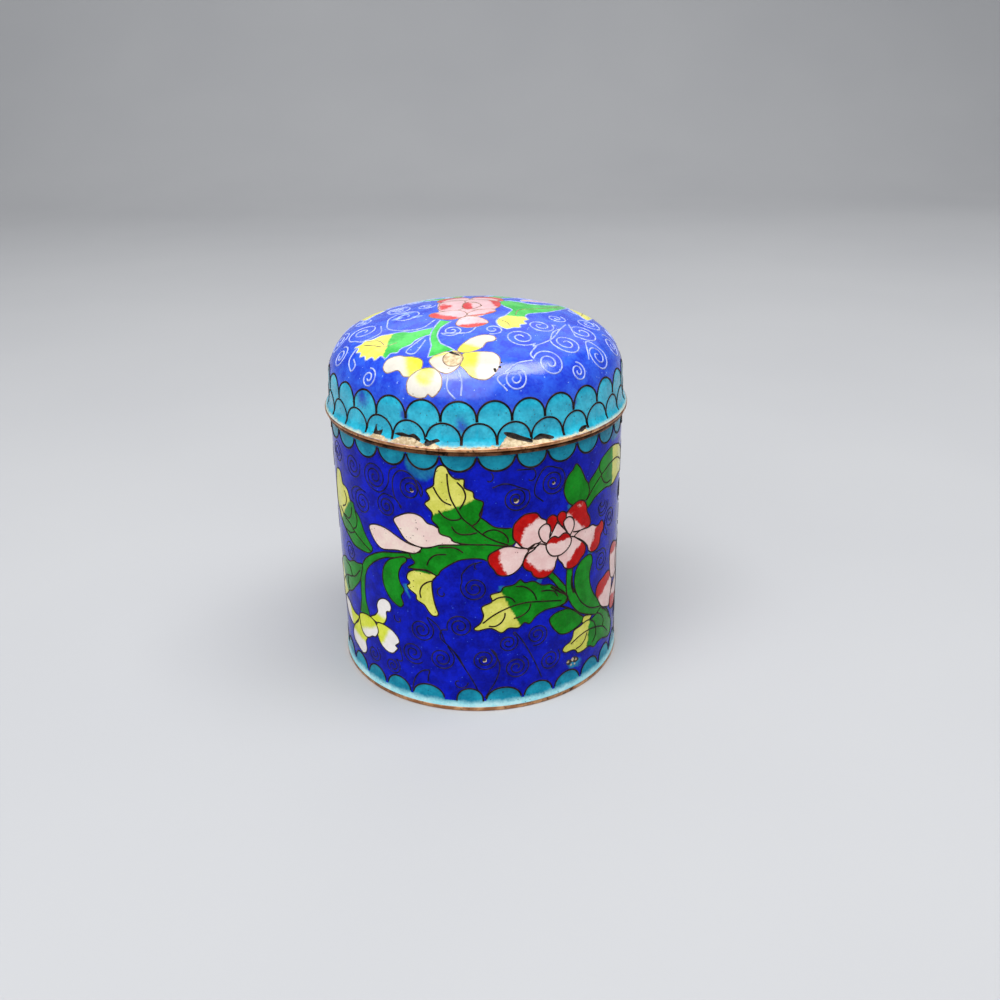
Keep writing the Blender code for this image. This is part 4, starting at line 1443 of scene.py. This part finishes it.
class Nodes:
    """A small helper that wires up one material."""

    def __init__(self, name):
        self.material = bpy.data.materials.new(name)
        self.material.use_nodes = True
        self.tree = self.material.node_tree
        self.shader = self.tree.nodes["Principled BSDF"]
        self.where = self.tree.nodes.new("ShaderNodeTexCoord").outputs["Object"]

    def link(self, source, socket):
        """Joins a node's output to a socket, or sets the socket to a plain value."""
        if hasattr(source, "is_linked"):
            self.tree.links.new(source, socket)
        else:
            socket.default_value = source

    def noise(self, scale, detail=2.0, roughness=0.5):
        """Soft noise over the piece, from 0 to 1."""
        node = self.tree.nodes.new("ShaderNodeTexNoise")
        node.inputs["Scale"].default_value = scale
        node.inputs["Detail"].default_value = detail
        node.inputs["Roughness"].default_value = roughness
        self.link(self.where, node.inputs["Vector"])
        return node.outputs["Fac"]

    def specks(self, scale, size):
        """Small round spots: 1 within this distance of the middle of a cell, or else 0."""
        node = self.tree.nodes.new("ShaderNodeTexVoronoi")
        node.inputs["Scale"].default_value = scale
        self.link(self.where, node.inputs["Vector"])
        return self.math("LESS_THAN", node.outputs["Distance"], size)

    def math(self, operation, a, b):
        """The result of one operation on two values."""
        node = self.tree.nodes.new("ShaderNodeMath")
        node.operation = operation
        self.link(a, node.inputs[0])
        self.link(b, node.inputs[1])
        return node.outputs["Value"]

    def ramp(self, value, low, high, out_low=0.0, out_high=1.0):
        """A value eased from one range to another."""
        node = self.tree.nodes.new("ShaderNodeMapRange")
        node.interpolation_type = "SMOOTHSTEP"
        for socket, setting in zip(node.inputs, (value, low, high, out_low, out_high)):
            self.link(setting, socket)
        return node.outputs["Result"]

    def mix(self, share, a, b):
        """A mix of two colours."""
        node = self.tree.nodes.new("ShaderNodeMix")
        node.data_type = "RGBA"
        self.link(share, node.inputs[0])
        self.link(a, node.inputs[6])
        self.link(b, node.inputs[7])
        return node.outputs[2]

    def attribute(self, name):
        """A value that the mesh carries."""
        node = self.tree.nodes.new("ShaderNodeAttribute")
        node.attribute_name = name
        return node.outputs["Fac"]

    def bump(self, height, distance, strength, below=None):
        """Relief from a height, over other relief."""
        node = self.tree.nodes.new("ShaderNodeBump")
        node.inputs["Strength"].default_value = strength
        node.inputs["Distance"].default_value = distance
        self.link(height, node.inputs["Height"])
        if below is not None:
            self.link(below, node.inputs["Normal"])
        return node.outputs["Normal"]

    def finish(self, colour, roughness, normal=None, **settings):
        """Sets the surface, and returns the material."""
        self.link(colour, self.shader.inputs["Base Color"])
        self.link(roughness, self.shader.inputs["Roughness"])
        if normal is not None:
            self.link(normal, self.shader.inputs["Normal"])
        for setting, value in settings.items():
            self.shader.inputs[setting.replace("_", " ")].default_value = value
        return self.material


def enamel(
    name, deep, light, second=None, second_light=None,
    speck=(40, 30, 20), specks=0.1, ragged=0.9, soft=0.5, gloss=(0.08, 0.20), level=0.09,
):
    """Glossy fused enamel: two tones, specks and pits, and a second colour where the blush begins."""
    nodes = Nodes(name)
    tone = nodes.ramp(nodes.noise(260.0, 3.0), 0.35, 0.68)
    grain = nodes.ramp(nodes.noise(1500.0, 2.0), 0.3, 0.7)
    share = nodes.math("ADD", nodes.math("MULTIPLY", tone, 0.65), nodes.math("MULTIPLY", grain, 0.35))
    colour = nodes.mix(share, srgb(*deep), srgb(*light))
    if second is not None:
        sway = nodes.math("SUBTRACT", nodes.noise(420.0, 3.0, 0.6), 0.5)
        fine = nodes.math("SUBTRACT", nodes.noise(1900.0, 2.0), 0.5)
        edge = nodes.math("ADD", nodes.attribute("blush"), nodes.math("MULTIPLY", sway, ragged * 4.0))
        edge = nodes.math("ADD", edge, nodes.math("MULTIPLY", fine, ragged * 1.6))
        other = nodes.mix(share, srgb(*second), srgb(*second_light))
        colour = nodes.mix(nodes.ramp(edge, -soft, soft), colour, other)
    few = nodes.math("LESS_THAN", nodes.noise(610.0, 0.0), 0.30 + specks)
    dots = nodes.math("MULTIPLY", nodes.specks(950.0, 0.16), few)
    colour = nodes.mix(nodes.math("MULTIPLY", dots, 0.8), colour, srgb(*speck))
    peel = nodes.bump(nodes.noise(420.0, 2.0), 0.00035, 0.10)
    pits = nodes.bump(nodes.math("SUBTRACT", 1.0, dots), 0.00006, 0.5, peel)
    shine = nodes.ramp(nodes.noise(330.0, 3.0), 0.3, 0.75, *gloss)
    rough = nodes.math("ADD", shine, nodes.math("MULTIPLY", dots, 0.4))
    return nodes.finish(colour, rough, pits, Specular_IOR_Level=level)


def copper(name, bright, dull, dirt, roughness=(0.28, 0.5), metallic=1.0, scale=300.0, level=0.5):
    """Bare copper, worn bright in places and tarnished in others."""
    nodes = Nodes(name)
    wear = nodes.ramp(nodes.noise(scale, 4.0, 0.6), 0.38, 0.62)
    colour = nodes.mix(wear, srgb(*dull), srgb(*bright))
    stain = nodes.ramp(nodes.noise(scale * 2.3, 3.0, 0.6), 0.56, 0.72)
    colour = nodes.mix(stain, colour, srgb(*dirt))
    rough = nodes.ramp(nodes.noise(scale * 1.7, 3.0), 0.3, 0.7, *roughness)
    relief = nodes.bump(nodes.noise(scale * 4.0, 3.0), 0.0001, 0.3)
    return nodes.finish(colour, rough, relief, Metallic=metallic, Specular_IOR_Level=level)


def plain(name, colour, light, rough):
    """A dull material, such as old filler or a broken edge."""
    nodes = Nodes(name)
    tone = nodes.ramp(nodes.noise(900.0, 4.0, 0.65), 0.35, 0.65)
    relief = nodes.bump(nodes.noise(1600.0, 4.0), 0.0002, 0.6)
    return nodes.finish(nodes.mix(tone, srgb(*colour), srgb(*light)), rough, relief)


MATERIALS = {
    "cobalt": enamel("cobalt_enamel", (2, 8, 132), (6, 28, 200), (14, 92, 150), (40, 140, 176),
                     speck=(60, 100, 215), specks=0.03, ragged=0.3, soft=0.7),
    "turquoise": enamel("turquoise_enamel", (8, 116, 146), (30, 158, 184), (140, 214, 224), (196, 232, 234),
                        speck=(10, 50, 70), specks=0.12, ragged=0.4, soft=0.9),
    "leaf": enamel("leaf_enamel", (4, 110, 10), (18, 150, 30), (206, 206, 78), (234, 230, 118),
                   speck=(60, 54, 16), specks=0.14, ragged=0.4, soft=0.35),
    "petal": enamel("petal_enamel", (238, 194, 190), (250, 220, 214), (176, 0, 2), (208, 22, 16),
                    speck=(120, 50, 40), specks=0.04, ragged=0.7, soft=0.4),
    "bud": enamel("bud_enamel", (238, 204, 198), (246, 226, 212), speck=(110, 70, 60), specks=0.10),
    "blossom": enamel("blossom_enamel", (236, 230, 226), (248, 242, 238), (208, 220, 30), (230, 234, 84),
                      speck=(100, 90, 60), specks=0.04, ragged=0.35, soft=0.8),
    "counter": enamel("counter_enamel", (20, 120, 165), (60, 165, 195), speck=(20, 60, 90), specks=0.1),
    "filler": plain("old_filler", (176, 150, 112), (222, 204, 168), 0.7),
    # Near black: broken edges and holes in the enamel, and painted shadow along the upper edges of the
    # lid's losses.
    "dark_break_and_shadow": plain("broken_enamel_edge_and_shadow", (16, 11, 10), (52, 36, 28), 0.6),
    "copper": copper("bare_copper", (226, 172, 124), (176, 118, 78), (84, 54, 36)),
    # The mouth rim's copper is darker: tarnish, and painted shade from the lid's rim above it.
    "tarnish_and_shade": copper("tarnished_and_shaded_copper", (122, 82, 56), (66, 42, 28), (26, 17, 12)),
    # The lid's cobalt is a lighter copy of the wall's, with painted reflection haze in its colour; its
    # second colour is the pale blue of the painted highlights.
    "lid_cobalt": enamel("reflection_lit_cobalt_enamel", (10, 46, 196), (42, 98, 228), (150, 196, 244),
                         (196, 220, 250), speck=(150, 180, 245), specks=0.08, ragged=0.3, soft=0.9,
                         gloss=(0.17, 0.30), level=0.85),
    "lid_turquoise": enamel("bright_turquoise_enamel", (10, 154, 186), (48, 198, 226), (196, 206, 180),
                            (222, 222, 196), speck=(14, 56, 66), specks=0.24, ragged=0.3, soft=0.6,
                            gloss=(0.14, 0.26), level=0.5),
    # The lid's leaf and petal are greyer copies of the wall's, the leaf much paler: painted reflection haze
    # in their colours.
    "lid_leaf": enamel("reflection_hazed_leaf_enamel", (30, 168, 58), (84, 206, 96), (220, 216, 76), (240, 236, 110),
                       speck=(110, 110, 30), specks=0.08, ragged=0.4, soft=0.35, gloss=(0.14, 0.26),
                       level=0.5),
    "lid_petal": enamel("reflection_hazed_petal_enamel", (218, 172, 178), (230, 194, 198), (196, 40, 44), (220, 70, 70),
                        speck=(150, 70, 70), specks=0.04, ragged=0.7, soft=0.5, gloss=(0.14, 0.26),
                        level=0.5),
    "lid_blossom": enamel("hazy_blossom_enamel", (200, 195, 184), (216, 210, 198), (206, 214, 50),
                          (222, 226, 90), speck=(130, 110, 80), specks=0.04, ragged=0.35, soft=0.9,
                          gloss=(0.14, 0.26), level=0.5),
    "stained": enamel("stained_turquoise_enamel", (10, 154, 186), (48, 198, 226), (16, 60, 170),
                      (30, 96, 200), speck=(14, 56, 66), specks=0.24, ragged=0.45, soft=0.8,
                      gloss=(0.14, 0.26), level=0.5),
}
WIRE = copper("dark_wire", (54, 34, 24), (20, 12, 9), (8, 6, 6), (0.35, 0.55), 0.2, 700.0, 0.12)
SCROLL_WIRE = copper("scroll_wire", (44, 36, 60), (8, 6, 22), (4, 4, 16), (0.3, 0.5), 0.15, 500.0, 0.15)
FAINT_WIRE = copper("worn_wire", (170, 140, 116), (120, 94, 76), (70, 54, 46), (0.35, 0.5), 0.2, 700.0)
# The lid's scroll wires are pale blue: painted reflection of the light in the metal.
LID_WIRE = copper("glint_pale_wire", (176, 188, 232), (130, 146, 214), (104, 116, 190), (0.35, 0.5), 0.0, 600.0)


# Building the box


# Height of an even triangle, as a share of its side.
TRIANGLE_HEIGHT = 0.866


def even_fill(low, high, spacing, keep):
    """Extra points inside a sheet, so that its triangles stay small."""
    points = []
    rows = math.ceil((high[1] - low[1]) / (spacing * TRIANGLE_HEIGHT))
    for row in range(1, rows):
        y = low[1] + (high[1] - low[1]) * row / rows
        columns = math.ceil((high[0] - low[0]) / spacing)
        for column in range(1, columns):
            x = low[0] + (high[0] - low[0]) * (column + 0.25 * (-1) ** row) / columns
            if keep(x, y):
                points.append((x, y))
    return points


# How finely the skins are cut: points along their edges, and the spacing of points between them.
WALL_ROWS = 34
WALL_COLUMNS = 160
WALL_FILL = 2.2
WALL_FILL_MARGIN = 1.0
LID_EDGE_POINTS = 240
LID_FILL = 1.8
LID_FILL_MARGIN = 0.9

# Rings part of the way down and across the plain linings.
LINING_HEIGHTS = (50.0, 25.0)
LINING_RADIUS = 20.0


def build_wall():
    """The wall's enamel and wires, with the plain enamel inside it and under its floor."""
    sheet = wall_drawing()
    sides = list(np.linspace(WALL_FOOT, WALL_TOP, WALL_ROWS))
    across = list(np.linspace(-HALF_ROUND, HALF_ROUND, WALL_COLUMNS))
    boundary = [(x, WALL_FOOT) for x in across] + [(HALF_ROUND, y) for y in sides[1:]]
    boundary += [(x, WALL_TOP) for x in across[::-1][1:]] + [(-HALF_ROUND, y) for y in sides[::-1][1:-1]]
    low, high = (-HALF_ROUND, WALL_FOOT), (HALF_ROUND, WALL_TOP)
    fill = even_fill(low, high, WALL_FILL, lambda x, y: abs(x) < HALF_ROUND - WALL_FILL_MARGIN)
    inner = WALL_RADIUS - WALL_THICKNESS
    corner = inner - INNER_CORNER
    turn = []
    for a in np.linspace(0.0, 0.5 * math.pi, 8):
        height = FLOOR_TOP + INNER_CORNER - INNER_CORNER * math.sin(a)
        turn.append((corner + INNER_CORNER * math.cos(a), height))
    inside_line = [(inner, height) for height in (WALL_TOP, *LINING_HEIGHTS)]
    inside_line += [*turn, (LINING_RADIUS, FLOOR_TOP), (0.0, FLOOR_TOP)]
    under_line = [(inner, WALL_FOOT), (inner, BASE_RECESS), (LINING_RADIUS, BASE_RECESS),
                  (0.0, BASE_RECESS)]
    linings = ((inside_line, WALL_TOP), (under_line, WALL_FOOT))
    piece = skin("enamelled_body", sheet, boundary, fill, on_wall, wall_smudge, linings)
    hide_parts("body")
    lay_wires("body_cell_wires", sheet, "cell", on_wall, WIRE)
    lay_wires("body_scroll_wires", sheet, "scroll", on_wall, SCROLL_WIRE)


def build_lid():
    """The lid's enamel and wires, with the plain enamel under it."""
    sheet = lid_drawing()
    turns = [math.tau * i / LID_EDGE_POINTS for i in range(LID_EDGE_POINTS)]
    boundary = [(LID_REACH * math.cos(turn), LID_REACH * math.sin(turn)) for turn in turns]
    low, high = (-LID_REACH, -LID_REACH), (LID_REACH, LID_REACH)
    fill = even_fill(low, high, LID_FILL, lambda x, y: math.hypot(x, y) < LID_REACH - LID_FILL_MARGIN)
    keep = [i for i in range(len(LID_ARCS)) if i % 4 == 0 or i == len(LID_ARCS) - 1]
    inside_line = []
    for i in keep[::-1]:
        point = on_lid(LID_ARCS[i], 0.0, -LID_THICKNESS)[0]
        inside_line.append((point.x / MM, point.z / MM))
    inside_line[-1] = (0.0, inside_line[-1][1])
    inside_line[0] = (inside_line[0][0], LID_FOOT)
    linings = ((inside_line, LID_FOOT),)
    piece = skin("enamelled_lid", sheet, boundary, fill, on_lid, lid_glints, linings,
                 "lid_")
    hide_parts("lid")
    lay_wires("lid_cell_wires", sheet, "cell", on_lid, WIRE)
    # Pale blue wires, with the light's reflection painted in their colour.
    lay_wires("lid_scroll_wires", sheet, "scroll", on_lid, LID_WIRE)
    lay_wires("lid_flower_wires", sheet, "faint", on_lid, FAINT_WIRE)


def build_bands():
    """The bare copper bands of the foot, the mouth and the lid."""
    section = rounded_section(FOOT_RIM_INNER, FOOT_RIM_OUTER, 0.0, WALL_FOOT, FOOT_RIM_SOFT)
    foot = band("copper_foot_rim", section, 0.10, 2.0)
    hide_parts("foot_rim")
    ring = rounded_section(COLLAR_RADIUS, MOUTH_RIM_OUTER, WALL_TOP, BODY_HEIGHT, RIM_SOFT)
    inner = COLLAR_RADIUS - COLLAR_THICKNESS
    collar = [(inner, COLLAR_TOP), (COLLAR_RADIUS, COLLAR_TOP), *ring, (COLLAR_RADIUS, COLLAR_FOOT),
              (inner, COLLAR_FOOT)]
    # The mouth rim takes the darker copper, with painted shade under the lid's rim.
    mouth = band("copper_mouth_rim", collar, 0.08, 5.0, "tarnish_and_shade")
    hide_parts("mouth_rim")
    side = lid_side(LID_FLARE_TOP) + LID_FLARE
    outer, top = side + LID_RIM_OVERHANG, LID_FOOT + LID_RIM_LAP
    rim = band("copper_lid_rim", rounded_section(side - LID_THICKNESS, outer, LID_SEAT, top, RIM_SOFT),
               0.12, 9.0)
    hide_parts("lid_rim")


# The floor, in metres: its front edge, where its curve begins and the curve's radius, its height at the
# back, and its width.
FLOOR_FRONT = -1.6
FLOOR_CURVE_START = 0.9
FLOOR_CURVE = 0.5
FLOOR_HEIGHT = 2.2
FLOOR_WIDTH = 4.4


def build_floor():
    """A plain pale floor that curves up behind."""
    shape = bmesh.new()
    line = [(FLOOR_FRONT, 0.0), (FLOOR_CURVE_START, 0.0)]
    for step in range(1, 13):
        angle = math.radians(90.0 * step / 12)
        back = FLOOR_CURVE_START + FLOOR_CURVE * math.sin(angle)
        line.append((back, FLOOR_CURVE - FLOOR_CURVE * math.cos(angle)))
    line.append((FLOOR_CURVE_START + FLOOR_CURVE, FLOOR_HEIGHT))
    verts = [shape.verts.new((-0.5 * FLOOR_WIDTH, back, height)) for back, height in line]
    edges = [shape.edges.new(pair) for pair in zip(verts, verts[1:])]
    swept = bmesh.ops.extrude_edge_only(shape, edges=edges)
    moved = [item for item in swept["geom"] if isinstance(item, bmesh.types.BMVert)]
    bmesh.ops.translate(shape, verts=moved, vec=(FLOOR_WIDTH, 0.0, 0.0))
    bmesh.ops.recalc_face_normals(shape, faces=shape.faces)
    mesh = bpy.data.meshes.new("floor")
    shape.to_mesh(mesh)
    shape.free()
    mesh.shade_smooth()
    nodes = Nodes("pale_floor")
    tone = nodes.noise(6.0, 2.0)
    nodes.finish(nodes.mix(tone, srgb(172, 173, 176), srgb(180, 181, 183)), 0.7, Specular_IOR_Level=0.2)
    mesh.materials.append(nodes.material)
    floor = bpy.data.objects.new("floor", mesh)
    bpy.context.scene.collection.objects.link(floor)


def build_lights():
    """A dim, even surround and three soft lights, which face the box: place in metres, size and power."""
    world = bpy.data.worlds.new("soft_room")
    world.use_nodes = True
    background = world.node_tree.nodes["Background"]
    background.inputs["Color"].default_value = (0.80, 0.83, 0.88, 1.0)
    background.inputs["Strength"].default_value = 0.27
    bpy.context.scene.world = world
    box_middle = Vector((0.0, 0.0, 0.05))
    for name, place, width, depth, power in (
        ("overhead", (0.05, -0.20, 1.12), 1.50, 0.50, 17.0),
        ("front", (-0.40, -0.85, 1.00), 1.5, 1.1, 9.5),
        ("back", (0.10, 0.85, 0.95), 1.6, 1.0, 3.0),
    ):
        light = bpy.data.lights.new(name, "AREA")
        light.shape = "RECTANGLE"
        light.size = width
        light.size_y = depth
        light.energy = power
        lamp = bpy.data.objects.new(name, light)
        bpy.context.scene.collection.objects.link(lamp)
        lamp.location = place
        lamp.rotation_euler = (box_middle - Vector(place)).to_track_quat("-Z", "Y").to_euler()


def build_camera():
    """The photograph's viewpoint: its place in mm, and its angles in degrees."""
    place, pitch, yaw, roll = Vector((0.0, -263.4, 162.1)), 24.125, 1.341, -0.694
    tilt, turn, lean = math.radians(pitch), math.radians(yaw), math.radians(roll)
    ahead = Vector((math.sin(turn) * math.cos(tilt), math.cos(turn) * math.cos(tilt), -math.sin(tilt)))
    level = Vector((math.cos(turn), -math.sin(turn), 0.0))
    above = level.cross(ahead)
    right = level * math.cos(lean) + above * math.sin(lean)
    up = above * math.cos(lean) - level * math.sin(lean)
    view = bpy.data.cameras.new("photo_view")
    view.sensor_width = 36.0
    view.lens = 36.0
    view.clip_start = 0.01
    camera = bpy.data.objects.new("photo_view", view)
    bpy.context.scene.collection.objects.link(camera)
    grid = Matrix((right, up, -ahead)).transposed().to_4x4()
    grid.translation = place * MM
    camera.matrix_world = grid
    bpy.context.scene.camera = camera


build_wall()
build_lid()
build_bands()
build_floor()
build_lights()
build_camera()
bpy.context.scene.view_settings.view_transform = "Standard"
